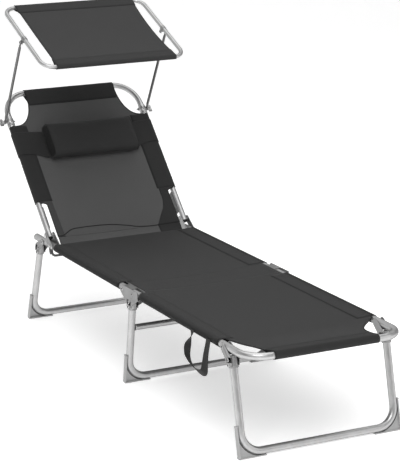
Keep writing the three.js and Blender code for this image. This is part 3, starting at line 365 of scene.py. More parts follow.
# Slot, maker, material, colour and share of it, then the maker's own values: a name stands for a size
FINISHES = {
    "frame": ("frame_steel", metal, "coated_steel", "frame", 1, 0.34, 0.8, 1400),
    "rod": ("frame_steel", metal, "rod_steel", "plate", 0.5, 0.36, 0.8, 1100),
    "plate": ("plate_steel", metal, "zinc_plate", "plate", 1, 0.38, 0.85, 1100, 0.16, 0.08),
    "bright": ("bright_steel", metal, "bright_steel", "bright", 1, 0.26, 0.85, 900),
    # stay: zinc plate at 0.42 of its colour, painted shade on the racks and the stay inside the rails
    "stay": ("plate_steel", metal, "dark_steel", "plate", 0.42, 0.45, 0.6, 1100, 0.16, 0.08),
    "plastic": ("foot_plastic", moulded, "grey_plastic", "plastic", 1, 0.5),
    # groove: plastic at 0.12 of its colour, painted shade for the feet's grooves and the rivets' hollows
    "groove": ("foot_plastic", moulded, "foot_groove", "plastic", 0.12, 0.6),
    "black": ("black_plastic", moulded, "black_plastic", "black", 1, 0.5),
    "thread": (None, moulded, "thread", "webbing", 0.75, 0.7),
    "seat": ("seat_fabric", woven, "seat_cloth", "seat", 1, "weave", 0.18, 0.0004),
    # seat_hem paints shade on the outer side and underside of the seat sleeves, past the hem's width
    "seat_hem": ("seat_fabric", woven, "seat_hem", "seat", 0.92, "weave", 0.16, 0.0004, 0.85, "seat_hem"),
    "bar_hem": ("seat_fabric", woven, "bar_hem", "seat", 0.85, "weave", 0.16, 0.0004),
    "back": ("back_fabric", woven, "back_cloth", "back", 1, "weave", 0.22, 0.0005),
    "back_hem": ("back_fabric", woven, "back_hem", "back", 0.6, "weave", 0.2, 0.0004),
    "hem": ("back_fabric", woven, "dense_cloth", "hem", 1, "canopy_weave", 0.12, 0.0002, 0.75),
    "canopy": ("canopy_fabric", woven, "canopy_cloth", "canopy", 1, "canopy_weave", 0.10, 0.0002),
    "canopy_hem": ("canopy_fabric", woven, "canopy_hem", "canopy", 0.78, "canopy_weave", 0.10, 0.0002),
    # The pillow's last value makes its end panels darker: painted shade
    "pillow": ("pillow_fabric", woven, "pillow_cover", "pillow", 1, "canopy_weave", 0.12, 0.0002, 0.75,
               PANEL_SHADE_U),
    "webbing": ("webbing", woven, "webbing", "webbing", 1, 0.0012, 0.25, 0.0004, 0.7),
    "binding": ("webbing", woven, "binding", "back", 1.5, 0.0012, 0.2, 0.0003),
}
_materials = {}


def finish_of(name):
    """The material of that name, made the first time it is asked for."""
    if name not in _materials:
        scene = bpy.context.scene
        _, maker, label, tone, share, *values = FINISHES[name]
        color = [share * c for c in getattr(scene.lounger_colours, tone)]
        values = [getattr(scene.lounger_sizes, v) if isinstance(v, str) else v for v in values]
        _materials[name] = maker(label, color, *values)
    return _materials[name]


# Mesh helpers
def placed(name, data):
    """New object in the scene."""
    made = bpy.data.objects.new(name, data)
    bpy.context.scene.collection.objects.link(made)
    return made


def baked(piece):
    """Mesh of an object with its modifiers applied."""
    bpy.context.view_layer.update()
    return bpy.data.meshes.new_from_object(piece.evaluated_get(bpy.context.evaluated_depsgraph_get()))


def outward(data):
    """Turns the faces of a mesh outwards."""
    work = bmesh.new()
    work.from_mesh(data)
    bmesh.ops.recalc_face_normals(work, faces=work.faces)
    work.to_mesh(data)
    work.free()


def settle(name, data, finish, body, stands_for=None, edge=0.0, angle=32.0):
    """Object from a mesh that is already in place, with its finish and body."""
    data.shade_smooth()
    data.set_sharp_from_angle(angle=math.radians(angle))
    data.materials.clear()
    data.materials.append(finish_of(finish))
    piece = placed(name, data)
    if edge:
        bevel = piece.modifiers.new("rounded_edges", "BEVEL")
        bevel.width = edge
        bevel.segments = 2
        bevel.limit_method = "ANGLE"
        bevel.angle_limit = math.radians(38)
        bevel.use_clamp_overlap = True
    if body:
        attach(piece, body)
    if stands_for:
        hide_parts(stands_for)
    return piece


def mirrored(part):
    verts, faces = part
    return [Vector((-v[0], v[1], v[2])) for v in verts], [face[::-1] for face in faces]


def solid(name, parts, place, finish, body, stands_for=None, edge=0.0, sign=1):
    """Piece from closed parts, each its vertices and faces, mirrored where sign is negative."""
    verts, faces = [], []
    for points, loops in map(mirrored, parts) if sign < 0 else parts:
        start = len(verts)
        verts += [Vector(p) for p in points]
        faces += [[start + i for i in loop] for loop in loops]
    data = bpy.data.meshes.new(name)
    data.from_pydata(verts, [], faces)
    outward(data)
    data.transform(place)
    return settle(name, data, finish, body, stands_for, edge)


def spread(low, high, count):
    return [low + (high - low) * k / count for k in range(count + 1)]


def circle(radius, count=28):
    return [(radius * math.cos(2 * math.pi * k / count), radius * math.sin(2 * math.pi * k / count))
            for k in range(count)]


def bent(corners, radii, step=7.5):
    """Places and headings along straight runs joined by bends."""
    corners = [Vector(c) for c in corners]
    heads = [(b - a).normalized() for a, b in zip(corners, corners[1:])]
    path = [(corners[0], heads[0])]
    for i, radius in enumerate(radii, 1):
        into, out = heads[i - 1], heads[i]
        turn = into.angle(out)
        start = corners[i] - into * radius * math.tan(turn / 2)
        inward = (out - into * into.dot(out)).normalized()
        centre = start + inward * radius
        rings = max(2, math.ceil(math.degrees(turn) / step))
        for k in range(rings + 1):
            a = turn * k / rings
            place = centre - inward * radius * math.cos(a) + into * radius * math.sin(a)
            path.append((place, into * math.cos(a) + inward * math.sin(a)))
    path.append((corners[-1], heads[-1]))
    return path


def skin(rings, count):
    """Faces of a closed skin over rings of count points each."""
    faces = []
    for i in range(rings - 1):
        for k in range(count):
            n = (k + 1) % count
            faces.append((i * count + k, i * count + n, (i + 1) * count + n, (i + 1) * count + k))
    return faces + [tuple(range(count - 1, -1, -1)), tuple(range((rings - 1) * count, rings * count))]


def swept(path, ring_at):
    """Skin along a path. ring_at(index) gives the ring's points across the heading."""
    verts = []
    head = path[0][1]
    side = Vector((1, 0, 0)) if abs(head.x) < 0.9 else head.orthogonal()
    for i, (place, head) in enumerate(path):
        side = (side - head * side.dot(head)).normalized()
        up = head.cross(side)
        verts.extend(place + side * a + up * b for a, b in ring_at(i))
    return verts, skin(len(path), len(verts) // len(path))


def tube(corners, radii, radius, lip=0.8, count=28):
    """Bent tube with softly rounded ends."""
    path = bent(corners, radii)
    first, last = path[0], path[-1]
    path.insert(1, (first[0] + first[1] * lip, first[1]))
    path.insert(len(path) - 1, (last[0] - last[1] * lip, last[1]))
    ends = (0, len(path) - 1)
    return swept(path, lambda i: circle(radius - (lip if i in ends else 0), count))


def turned(profile, at=(0, 0, 0), along_y=False, count=28):
    """Closed solid of revolution about X, or Y, from (distance, radius) pairs, set at a place."""
    turn = Matrix.Rotation(math.pi / 2 if along_y else 0, 3, "Z")
    verts = [turn @ Vector((x, a, b)) + Vector(at) for x, r in profile for a, b in circle(r, count)]
    return verts, skin(len(profile), count)


def disc(y, z, radius):
    return [(y + a, z + b) for a, b in circle(radius)]


def hull(points):
    """Smallest convex outline round a set of points."""
    def chain(order):
        kept = []
        for p in order:
            while len(kept) > 1 and (
                (kept[-1][0] - kept[-2][0]) * (p[1] - kept[-2][1])
                - (kept[-1][1] - kept[-2][1]) * (p[0] - kept[-2][0])
            ) <= 0:
                kept.pop()
            kept.append(p)
        return kept[:-1]
    ordered = sorted(set(points))
    return chain(ordered) + chain(ordered[::-1])


def plate(outline, x0, x1):
    """Flat plate: outline in (y, z), thick along X."""
    count = len(outline)
    verts = [(x0, y, z) for y, z in outline] + [(x1, y, z) for y, z in outline]
    faces = [tuple(range(count)), tuple(range(2 * count - 1, count - 1, -1))]
    faces += [(k, (k + 1) % count, count + (k + 1) % count, count + k) for k in range(count)]
    return verts, faces


def refined(node, name, finish, edge):
    """A copy of a CAD solid with merged points, rounded edges and smooth curves."""
    source = frame["nodes"][node]
    work = bmesh.new()
    work.from_mesh(source.data)
    bmesh.ops.remove_doubles(work, verts=work.verts, dist=1e-5)
    bmesh.ops.dissolve_limit(work, angle_limit=math.radians(1), verts=work.verts, edges=work.edges)
    data = bpy.data.meshes.new(name)
    work.to_mesh(data)
    work.free()
    return settle(name, data, finish, source["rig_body"], node, edge)


# Geometry Nodes
def node_tree(name, labels):
    """Empty tree whose modifier takes a number for each label, and a material."""
    tree = bpy.data.node_groups.new(name, "GeometryNodeTree")
    kinds = {"Geometry": "Geometry", **dict.fromkeys(labels, "Float"), "Material": "Material"}
    sockets = {label: tree.interface.new_socket(label, in_out="INPUT", socket_type="NodeSocket" + kind)
               for label, kind in kinds.items()}
    tree.interface.new_socket("Geometry", in_out="OUTPUT", socket_type="NodeSocketGeometry")
    return tree, tree.nodes.new("NodeGroupInput").outputs, {k: s.identifier for k, s in sockets.items()}


def set_out(tree, start, bead, size, **points):
    """Beads of a size on points, as real geometry with the tree's material."""
    size = make(tree, "ShaderNodeCombineXYZ", dict(enumerate(size))).outputs[0]
    shaped = make(tree, "GeometryNodeTransform", {"Geometry": bead, "Scale": size}).outputs[0]
    spots = make(tree, "GeometryNodeInstanceOnPoints", {"Instance": shaped, **points}).outputs[0]
    real = make(tree, "GeometryNodeRealizeInstances", {0: spots}).outputs[0]
    paint = make(tree, "GeometryNodeSetMaterial", {"Geometry": real, "Material": start["Material"]})
    make(tree, "NodeGroupOutput", {0: paint.outputs[0]})


def stitch_tree():
    """Small thread beads at an even pitch along a curve."""
    tree, start, ids = node_tree("stitches", ("Pitch", "Length", "Width"))
    inputs = {"Curve": start[0], "Length": start["Pitch"]}
    line = make(tree, "GeometryNodeResampleCurve", inputs, mode="LENGTH")
    bead = make(tree, "GeometryNodeMeshUVSphere", {"Segments": 6, "Rings": 5, "Radius": 0.5})
    heading = tree.nodes.new("GeometryNodeInputTangent").outputs[0]
    along = make(tree, "FunctionNodeAlignRotationToVector", {"Vector": heading}, axis="Z")
    set_out(tree, start, bead.outputs["Mesh"], (start["Width"], start["Width"], start["Length"]),
            Points=line.outputs[0], Rotation=along.outputs[0])
    return tree, ids


def rivet_tree():
    """Domed heads on points, flattened along X."""
    tree, start, ids = node_tree("rivets", ("Diameter", "Height"))
    bead = make(tree, "GeometryNodeMeshUVSphere", {"Segments": 20, "Rings": 10, "Radius": 1.0})
    upright = make(tree, "GeometryNodeTransform",
                   {"Geometry": bead.outputs["Mesh"], "Rotation": (0, math.pi / 2, 0)})
    half = math_node(tree, "MULTIPLY", start["Diameter"], 0.5)
    set_out(tree, start, upright.outputs[0], (start["Height"], half, half), Points=start[0])
    return tree, ids


_trees = {}


def grown(name, source, kind, values, finish, body):
    """Runs a node tree on a source object and keeps its result as a plain mesh."""
    if kind not in _trees:
        _trees[kind] = {"stitches": stitch_tree, "rivets": rivet_tree}[kind]()
    tree, ids = _trees[kind]
    maker = placed(name + "_maker", source)
    modifier = maker.modifiers.new(kind, "NODES")
    modifier.node_group = tree
    for label, value in {**values, "Material": finish_of(finish)}.items():
        modifier[ids[label]] = value
    data = baked(maker)
    data.name = name
    maker.modifiers.remove(modifier)
    bpy.data.objects.remove(maker)
    return settle(name, data, finish, body, angle=60)


def stitches(name, lines, body, place):
    """Rows of stitches along lines of points given in a piece's own frame."""
    sizes = bpy.context.scene.lounger_sizes
    curve = bpy.data.curves.new(name + "_line", "CURVE")
    curve.dimensions = "3D"
    for line in lines:
        spline = curve.splines.new("POLY")
        spline.points.add(len(line) - 1)
        for target, p in zip(spline.points, line):
            target.co = (*(place @ Vector(p)), 1)
    values = {"Pitch": sizes.stitch_pitch, "Length": sizes.stitch_length, "Width": sizes.stitch_width}
    return grown(name, curve, "stitches", values, "thread", body)


def rivets(name, points, body, finish, scale=1.0):
    """Rivet heads at points, or at a smaller scale dark beads on them that paint the shade in their hollows.
    """
    sizes = bpy.context.scene.lounger_sizes
    data = bpy.data.meshes.new(name + "_points")
    data.from_pydata([GROUND @ Vector(p) for p in points], [], [])
    values = {"Diameter": sizes.rivet * scale, "Height": sizes.rivet_height * (0.7 if scale == 1 else scale)}
    return grown(name, data, "rivets", values, finish, body)


# Cloth helpers
def cloth_piece(name, rows, place, finish, body, stands_for=None, thickness=None):
    """Sheet from rows of points. Its UV map holds the distances along the cloth, in metres."""
    rows = [[Vector(p) for p in row] for row in rows]
    count = len(rows[0])
    faces = [
        (i * count + k, i * count + k + 1, (i + 1) * count + k + 1, (i + 1) * count + k)
        for i in range(len(rows) - 1) for k in range(count - 1)
    ]
    middle = count // 2
    places = []
    down = 0.0
    for i, row in enumerate(rows):
        if i:
            down += (row[middle] - rows[i - 1][middle]).length
        across = [0.0]
        for a, b in zip(row, row[1:]):
            across.append(across[-1] + (b - a).length)
        offset = row[0].x if row[0].x < 0 < row[-1].x else 0.0
        places.extend(((a + offset) * MM, down * MM) for a in across)
    data = bpy.data.meshes.new(name)
    data.from_pydata([p for row in rows for p in row], [], faces)
    layer = data.uv_layers.new(name="cloth")
    for loop in data.loops:
        layer.data[loop.index].uv = places[loop.vertex_index]
    data.transform(place)
    piece = settle(name, data, finish, None, stands_for, angle=75)
    solidify = piece.modifiers.new("thickness", "SOLIDIFY")
    solidify.thickness = thickness or bpy.context.scene.lounger_sizes.cloth
    solidify.offset = 0
    if body:
        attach(piece, body)
    return piece


def piping(name, points, radius, place, finish, body):
    """Bound edge: a soft cord along a line of points."""
    points = [Vector(p) for p in points]
    path = [(p, (after - before).normalized())
            for before, p, after in zip(points[:1] + points, points, points[1:] + points[-1:])]
    return solid(name, [swept(path, lambda i: circle(radius, 10))], place, finish, body)


def eased(share):
    t = min(max(share, 0.0), 1.0)
    return t * t * (3 - 2 * t)


def smooth_line(points, steps=8):
    """Points on a smooth curve through the given ones."""
    points = [Vector(p) for p in points]
    out = []
    for i in range(len(points) - 1):
        p0, p1 = points[max(i - 1, 0)], points[i]
        p2, p3 = points[i + 1], points[min(i + 2, len(points) - 1)]
        for k in range(steps):
            t = k / steps
            out.append(0.5 * (2 * p1 + (p2 - p0) * t + (2 * p0 - 5 * p1 + 4 * p2 - p3) * t * t
                              + (3 * p1 - p0 - 3 * p2 + p3) * t ** 3))
    return out + [points[-1]]


def width_along(line, y):
    """Half width of a cloth at y from its edge line of (x, y) points with y rising."""
    for a, b in zip(line, line[1:]):
        if a[1] <= y <= b[1]:
            share = (y - a[1]) / (b[1] - a[1]) if b[1] > a[1] else 0
            return a[0] + (b[0] - a[0]) * share
    return line[0][0] if y < line[0][1] else line[-1][0]


def tongue_half(s):
    """Half width of the backrest cloth below its sleeves, widening from the tongue to the tubes."""
    return TONGUE + 25 * eased((s - TONGUE_TOP) / 15) ** 1.5


def seat_height(x, y):
    """Middle of the seat cloth above the rails' axis."""
    end = eased((y - FOOT_BAR_Y) / SAG_REACH)
    drawn = eased((y - 574) / 28)
    return (SEAT_RADIUS - SAG * max(1 - (x / RAIL_X) ** 2, 0) * end) * (1 - drawn) + CREASE * drawn


def back_height(x, s):
    """Middle of the backrest cloth above its tubes' axis."""
    ends = eased((BOW_S - s) / SAG_REACH) * eased((s + 158) / SAG_REACH)
    return BACK_RADIUS - SAG * max(1 - (x / RAIL_X) ** 2, 0) * ends


def canopy_height(x, y):
    """Middle of the canopy cloth above its tube's axis."""
    along = max(1 - ((y - CANOPY_MIDDLE) / CANOPY_SPAN) ** 2, 0)
    return CANOPY_R + MID - 11 * along - 1.2 * along * math.cos(x / CANOPY_CLOTH * math.pi / 2)


def wave(y, seed):
    """Small even undulation of a sleeve, never inwards."""
    return 0.35 * (0.5 + 0.5 * math.sin(y / 11.0 + seed) * math.sin(y / 29.0 + 2 * seed))


def hem_and_shade_width(hem, sign):
    """The far side's hem is drawn 20 mm wider than the near one's: the extra width of darker hem cloth is
    painted shade on the cloth's slope beside the far rail.
    """
    return hem + (20 if sign > 0 else 0)


class Sling:
    """A stretched cloth with its trims: its place, its height above its tubes' axes, the radius of its
    sleeves, its body, and the finishes of cloth and sleeves."""

    def __init__(self, place, height, radius, body, cloth, hem):
        self.place, self.height, self.radius = place, height, radius
        self.body, self.cloth, self.hem = body, cloth, hem
        self.trims, self.seams = [], []

    def over(self, points, lift=0.0):
        """Points (x, y) laid on the cloth, or lifted off it."""
        return [(x, y, self.height(x, y) + lift) for x, y in points]

    def sheet(self, name, rows, stands_for=None, thickness=None):
        rows = [self.over(row) for row in rows]
        return cloth_piece(name, rows, self.place, self.cloth, self.body, stands_for, thickness)

    def cord(self, name, points, radius, lift=0.2):
        """Binding or seam along a line on the cloth."""
        line = self.over(points, lift)
        self.trims.append(piping(name, line, radius, self.place, "webbing", self.body))

    def notch(self, name, sign, low, high, count):
        """Binding along the cloth's side between the brackets."""
        line = [(sign * (INSIDE + 0.2), y, self.height(INSIDE, y) + 0.2)
                for y in spread(low, high, count)]
        self.trims.append(piping(name, line, 1.3, self.place, "binding", self.body))

    def stitch(self, name):
        """Stitches along all the seams noted so far."""
        lines = [self.over(line, 1.25) for line in self.seams]
        self.trims.append(stitches(name, lines, self.body, self.place))

    def trim(self, name, rows, finish=None):
        piece = cloth_piece(name, rows, self.place, finish or self.hem, self.body, None, HEM_THICK)
        self.trims.append(piece)

    def side_sleeve(self, name, sign, start, end, hem, seam):
        """Hem and sleeve of one side: over the cloth, round the tube and back below the cloth. Two seams
        run along the hem, each from the first to the second value of seam in as many steps as the third."""
        rows = []
        radius = self.radius
        self.seams += [[(sign * (RAIL_X - hem + inset), y) for y in spread(*seam)] for inset in STITCH_ROWS]
        for y in spread(start, end, max(12, int((end - start) / 9))):
            puff = wave(y, 1.3 + sign)
            row = self.over([(sign * x, y) for x in spread(RAIL_X - hem, RAIL_X, 6)], LIFT)
            for k in range(1, 13):
                turn = math.pi * k / 12
                r = radius + puff * math.sin(turn) + LIFT * math.cos(turn / 2) ** 2
                row.append((sign * (RAIL_X + r * math.sin(turn)), y, r * math.cos(turn)))
            under = self.height(RAIL_X - hem, y) - LIFT
            for k in range(1, 6):
                inset = hem * (k / 5)
                rise = (under + radius) * eased(inset / UNDER_REACH)
                row.append((sign * (RAIL_X - inset), y, -radius + rise))
            rows.append(row)
        self.trim(name, rows)

    def bar_sleeve(self, name, reach, bar, hem, outward, finish=None):
        """Hem and sleeve round a cross tube at y = bar. reach(y) gives the cloth's two ends there."""
        rows = []
        radius = self.radius
        for k in range(7):
            y = bar - outward * hem * (1 - k / 6)
            rows.append(self.over([(x, y) for x in spread(*reach(y), COLUMNS)], LIFT))
        for k in range(1, 13):
            turn = math.pi * k / 12
            row = []
            for x in spread(*reach(bar), COLUMNS):
                r = radius + wave(x, 0.4) * math.sin(turn) + LIFT * math.cos(turn / 2) ** 2
                row.append((x, bar + outward * r * math.sin(turn), r * math.cos(turn)))
            rows.append(row)
        for k in range(1, 6):
            share = k / 5
            y = bar - outward * hem * share
            rows.append([(x, y, -radius + (self.height(x, y) - LIFT + radius) * eased(share))
                         for x in spread(*reach(y), COLUMNS)])
        self.trim(name, rows, finish)


class Builder:
    """What every button shares"""

    bl_options = {"REGISTER", "UNDO"}


def aimed(name, data, place, target):
    """Camera or lamp at a place, looking at a target."""
    made = placed(name, data)
    turn = (Vector(target) - Vector(place)).to_track_quat("-Z", "Y").to_matrix().to_4x4()
    made.matrix_world = Matrix.Translation(place) @ turn
    return made


class LOUNGER_OT_camera(Builder, bpy.types.Operator):
    """Camera at the photographed view"""

    bl_idname = "lounger.camera"
    bl_label = "Camera"

    def execute(self, context):
        tall = 461  # pixels of the picture in which the focal length and shifts were fitted
        data = bpy.data.cameras.new("lounger_camera")
        data.sensor_width = 36.0
        data.lens = 2014.0 * data.sensor_width / tall
        data.shift_x = 1.0 / tall
        data.shift_y = 1.73 / tall
        data.clip_end = 60
        context.scene.camera = aimed("lounger_camera", data, (-2.7438, -5.2420 + SHIFT, 1.9954),
                                     (-0.0323, -0.0100 + SHIFT, 0.4599))
        return {"FINISHED"}


class LOUNGER_OT_stage(Builder, bpy.types.Operator):
    """Pale floor and soft studio light"""

    bl_idname = "lounger.stage"
    bl_label = "Stage"

    def execute(self, context):
        material, tree, bsdf = shader("studio_floor", context.scene.lounger_colours.floor, 0.9)
        white = (1, 1, 1, 1)
        feed(tree, bsdf, {"Specular IOR Level": 0.1, "Emission Color": white, "Emission Strength": 0.5})
        half, edge, bend, height = 14.0, 9.0, 3.0, 9.0
        profile = [(-half, 0.0), (edge, 0.0)]
        profile += [(edge + bend * math.sin(a), bend - bend * math.cos(a))
                    for a in spread(0, math.pi / 2, 10)[1:]]
        profile.append((edge + bend, height))
        data = bpy.data.meshes.new("studio_floor")
        data.from_pydata([(x, y, z) for y, z in profile for x in (-half, half)], [],
                         [(2 * i, 2 * i + 1, 2 * i + 3, 2 * i + 2) for i in range(len(profile) - 1)])
        data.shade_smooth()
        data.materials.append(material)
        floor = placed("studio_floor", data)
        world = bpy.data.worlds.new("studio")
        world.use_nodes = True
        tree = world.node_tree
        split = make(tree, "ShaderNodeSeparateXYZ", {0: coordinates(tree, "Generated")})
        strength = to_range(tree, split.outputs[2], 0.24, 0.34, -0.35, 0.55)
        feed(tree, tree.nodes["Background"], {"Color": white, "Strength": strength})
        context.scene.world = world
        context.scene.view_settings.view_transform = "Standard"
        for name, place, size, power in (
            ("key", (-2.2, -3.4, 4.2), 3.0, 110),
            ("fill", (3.2, -3.6, 2.0), 3.0, 30),
            ("top", (0.4, 0.6, 4.8), 5.0, 110),
        ):
            data = bpy.data.lights.new(name, "AREA")
            data.size = size
            data.energy = power
            aimed(name, data, place, (0, 0, 0.4))
        return {"FINISHED"}


class LOUNGER_OT_rails(Builder, bpy.types.Operator):
    """Seat rails with their end caps, and the bent foot tube"""

    bl_idname = "lounger.rails"
    bl_label = "Rails"

    def execute(self, context):
        for side, sign in SIDES:
            x = sign * RAIL_X
            rail = tube([(x, 43, 0), (x, 742, 0)], [], RAIL_R)
            solid(f"seat_rail_tube_{side}", [rail], RAILS, "frame", "seat_frame", f"seat_rail_{side}")
            cap = [(0, 11.0), (2.6, 11.0), (4.6, 10.2), (6.2, 8.2), (7.0, 5.2)]
            cap = turned(cap, (x, 742.2, 0), along_y=True)
            solid(f"rail_end_{side}", [cap], RAILS, "plastic", "seat_frame", f"rail_cap_{side}")
        corners = [(-RAIL_X, 1, 0), (-RAIL_X, FOOT_BAR_Y, 0), (RAIL_X, FOOT_BAR_Y, 0), (RAIL_X, 1, 0)]
        solid("foot_rail", [tube(corners, [68, 68], RAIL_R)], RAILS, "frame", "foot_frame", "foot_tube")
        return {"FINISHED"}


class LOUNGER_OT_legs(Builder, bpy.types.Operator):
    """The bent legs, the cross bar and the corner feet"""

    bl_idname = "lounger.legs"
    bl_label = "Legs and feet"

    def execute(self, context):
        bend = 58
        for name in LEGS:
            high = math.dist(*LEGS[name])
            body, place = f"{name}_leg", leg_frame(name)
            corners = [(-RAIL_X, 0, high), (-RAIL_X, 0, 0), (RAIL_X, 0, 0), (RAIL_X, 0, high)]
            solid(f"{name}_leg_tube", [tube(corners, [bend, bend], RAIL_R)], place, "frame", body, body)
            for side, _ in SIDES:
                refined(f"{name}_foot_{side}", f"{name}_corner_foot_{side}", "plastic", 0.0008)
            # Near-black cords along the bends of the feet: painted shade in the grooves between web and tube
            grooves = []
            for y in (-2.2, 2.2):
                line = []
                for a in spread(0.04, math.pi / 2 - 0.04, 14):
                    c, s = math.cos(a), math.sin(a)
                    line.append((Vector((-RAIL_X + bend - 70.6 * c, y, bend - 70.6 * s)), Vector((s, 0, -c))))
                grooves.append(swept(line, lambda i: circle(1.2, 8)))
            grooves += [mirrored(groove) for groove in grooves]
            solid(f"{name}_foot_grooves", grooves, place, "groove", body)
        bar_z = 180
        top, foot = LEGS["middle"]
        y = foot[0] + (bar_z - foot[1]) / (top[1] - foot[1]) * (top[0] - foot[0])
        reach = RAIL_X - RAIL_R - GAP
        end = [(reach, 10.0), (reach - 1.2, 10.5), (reach - 2.4, 9.9), (reach - 3.4, 9.5)]
        bar = turned([(-x, r) for x, r in end] + end[::-1])
        solid("middle_cross_bar", [bar], tilted(y, bar_z), "frame", "middle_leg", "cross_bar")
        return {"FINISHED"}


def bracket(name, eyes, nose, webs):
    """Two stamped plates, the socket round the leg, stop webs and rivets. eyes gives each pivot's y and the
    plates' radius there, nose further corners of their outline, webs the y and z ranges of the webs."""
    body = f"{name}_leg"
    high = math.dist(*LEGS[name])
    low = high - 31
    half = PLATE_OUT
    arm = hull([p for y, radius in eyes for p in disc(y, RAIL_Z, radius)] + nose
               + [on_leg(name, v, w) for v in (-half, half) for w in (high, high - 16)])
    cheek = hull([on_leg(name, v, w) for v in (-half, half) for w in (high, low + 7)])
    y, radius = eyes[-1]
    rib = hull(disc(y, RAIL_Z, radius * 0.45) + [on_leg(name, v, high - 10) for v in (-3.5, 3.5)])
    parts = [plate(outline, x0, x0 + PLATE_THICK)
             for x0 in (RAIL_X - half, RAIL_X + half - PLATE_THICK) for outline in (arm, cheek)]
    parts.append(plate(rib, RAIL_X + half - 0.2, RAIL_X + half + 0.8))
    parts += [plate([(y0, z0), (y1, z0), (y1, z1), (y0, z1)], RAIL_X - half + 0.2, RAIL_X + half - 0.2)
              for y0, y1, z0, z1 in webs]
    path = [Vector((RAIL_X, *on_leg(name, 0, w)))
            for w in (low, low + 1.2, low + 4.5, low + 5.5, high - 6, high + 3.5)]
    head = (path[-1] - path[0]).normalized()
    radii = (13.4, 14.2, 14.2, 13.5, 13.5, 12.6)
    parts.append(swept([(p, head) for p in path], lambda i: circle(radii[i])))
    heads = [(y, RAIL_Z) for y, _ in eyes] + [on_leg(name, SOCKET_SIDE[name], high - w) for w in (8, 23)]
    for side, sign in SIDES:
        solid(f"{name}_stamped_bracket_{side}", parts, GROUND, "plate", body, f"{name}_bracket_{side}",
              bpy.context.scene.lounger_sizes.edge, sign)
        face = sign * (RAIL_X + half)
        rivets(f"{name}_rivets_{side}", [(face, y, z) for y, z in heads], body, "bright")
        # Dark beads on the rivet heads: painted shade in their hollows
        eye = face + sign * 1.15
        rivets(f"{name}_rivet_eyes_{side}", [(eye, y, z) for y, z in heads], body, "groove", scale=0.58)


class LOUNGER_OT_brackets(Builder, bpy.types.Operator):
    """Stamped brackets that carry the legs on the rails"""

    bl_idname = "lounger.brackets"
    bl_label = "Brackets"

    def execute(self, context):
        under, over = RAIL_Z - 11.3, RAIL_Z + 11.3
        nose = FOOT_PIVOT - 37
        high = RAIL_Z + PLATE_OUT
        stop = (under - PLATE_THICK, under)
        bracket("middle", [(SEAT_PIVOT, 13.5), (FOOT_PIVOT, 13.5)], [(nose, high), (nose, RAIL_Z - 14)],
                [(FOOT_PIVOT + 11.5, SEAT_PIVOT - 11.5, over, high), (nose, nose + 20, *stop)])
        bracket("front", [(FRONT_PIVOT, 12)], [], [(FRONT_PIVOT - 36, FRONT_PIVOT - 16, *stop)])
        bracket("rear", [(REAR_PIVOT, 10.3)], [], [(REAR_PIVOT + 16, REAR_PIVOT + 36, *stop)])
        return {"FINISHED"}


class LOUNGER_OT_recliner(Builder, bpy.types.Operator):
    """Hinge plates, racks, stay and bolts of the backrest"""

    bl_idname = "lounger.recliner"
    bl_label = "Recliner"

    def execute(self, context):
        edge = context.scene.lounger_sizes.edge
        low = RAIL_Z + 1
        spots = (594, 612)
        first, second = (disc(y, low, 8) for y in spots)
        pivot = disc(BACK_Y, BACK_Z, 11)
        parts = [plate(hull(first + second + pivot), RAIL_X + 11.3, RAIL_X + PLATE_OUT),
                 plate(hull(first + pivot + disc(STAY_Y, STAY_Z, 9)), RAIL_X - 16.6, RAIL_X - 14.0)]
        for y in spots:
            parts += [turned([(-16, 3), (13, 3)], (RAIL_X, y, low)),
                      turned([(-14.1, 5.4), (-11.5, 5.4)], (RAIL_X, y, low))]
        bolt = [(-18.7, 3.5), (-16.9, 3.5), (13.8, 3.5), (13.8, 6.0), (15.2, 6.3), (16.9, 5.2), (17.8, 3.0)]
        bolt = turned(bolt, (RAIL_X, 0, 0))
        for side, sign in SIDES:
            solid(f"hinge_plates_{side}", parts, GROUND, "plate", "seat_frame", f"hinge_plate_{side}",
                  edge, sign)
            rivets(f"hinge_rivets_{side}", [(sign * (RAIL_X + PLATE_OUT), y, low) for y in spots],
                   "seat_frame", "bright")
            solid(f"recline_bolt_{side}", [bolt], BACK, "bright", "backrest", f"pivot_bolt_{side}", sign=sign)
            # Racks and stay in zinc painted darker: painted shade
            solid(f"toothed_rack_{side}", [self.rack()], BACK, "stay", "backrest", f"rack_{side}", edge, sign)
            solid(f"stay_plate_{side}", self.lever(), STAY, "stay", "stay", f"stay_lever_{side}", edge, sign)
        half = RAIL_X - 17.1 - 2.4 - GAP - 4
        y, z = 51.4 * math.cos(STAY_DROP), 51.4 * math.sin(STAY_DROP)
        corners = [(-half, y / 2, z / 2), (-half, y, z), (half, y, z), (half, y / 2, z / 2)]
        rod = tube(corners, [12, 12], 4.0, 0.6, 18)
        solid("stay_cross_rod", [rod], STAY, "stay", "stay", "stay_rod")
        return {"FINISHED"}

    def rack(self):
        tooth = [(-5, -12), (-3.6, -15.6), (-1.6, -16.8), (1.6, -16.8), (3.6, -15.6), (5, -12)]
        line = [(28, 2), (28, -12)] + [(s + ds, t) for s in (36, 51, 63, 79, 99) for ds, t in tooth]
        return plate(line + [(108, -12), (108, 2)], RAIL_X - 12.1, RAIL_X - 9.8)

    def lever(self):
        """Plate from the rack's pin over the pivot to the cross rod, with its pins."""
        lean = math.radians(84)
        tip = (48.18 * math.cos(lean), 48.18 * math.sin(lean))
        foot = (38 * math.cos(STAY_DROP), 38 * math.sin(STAY_DROP))
        inner = RAIL_X - 19.5
        parts = [plate(hull(disc(0, 0, 9) + disc(*end, 8)), inner, inner + 2.4) for end in (tip, foot)]
        for place, x0, x1, r in ((tip, inner, RAIL_X - 10.1, 3), ((0, 0), inner, RAIL_X - 14.1, 3),
                                 ((0, 0), inner - 1.8, inner + 1, 5.4)):
            parts.append(turned([(x0, r), (x1, r)], (0, *place)))
        return parts


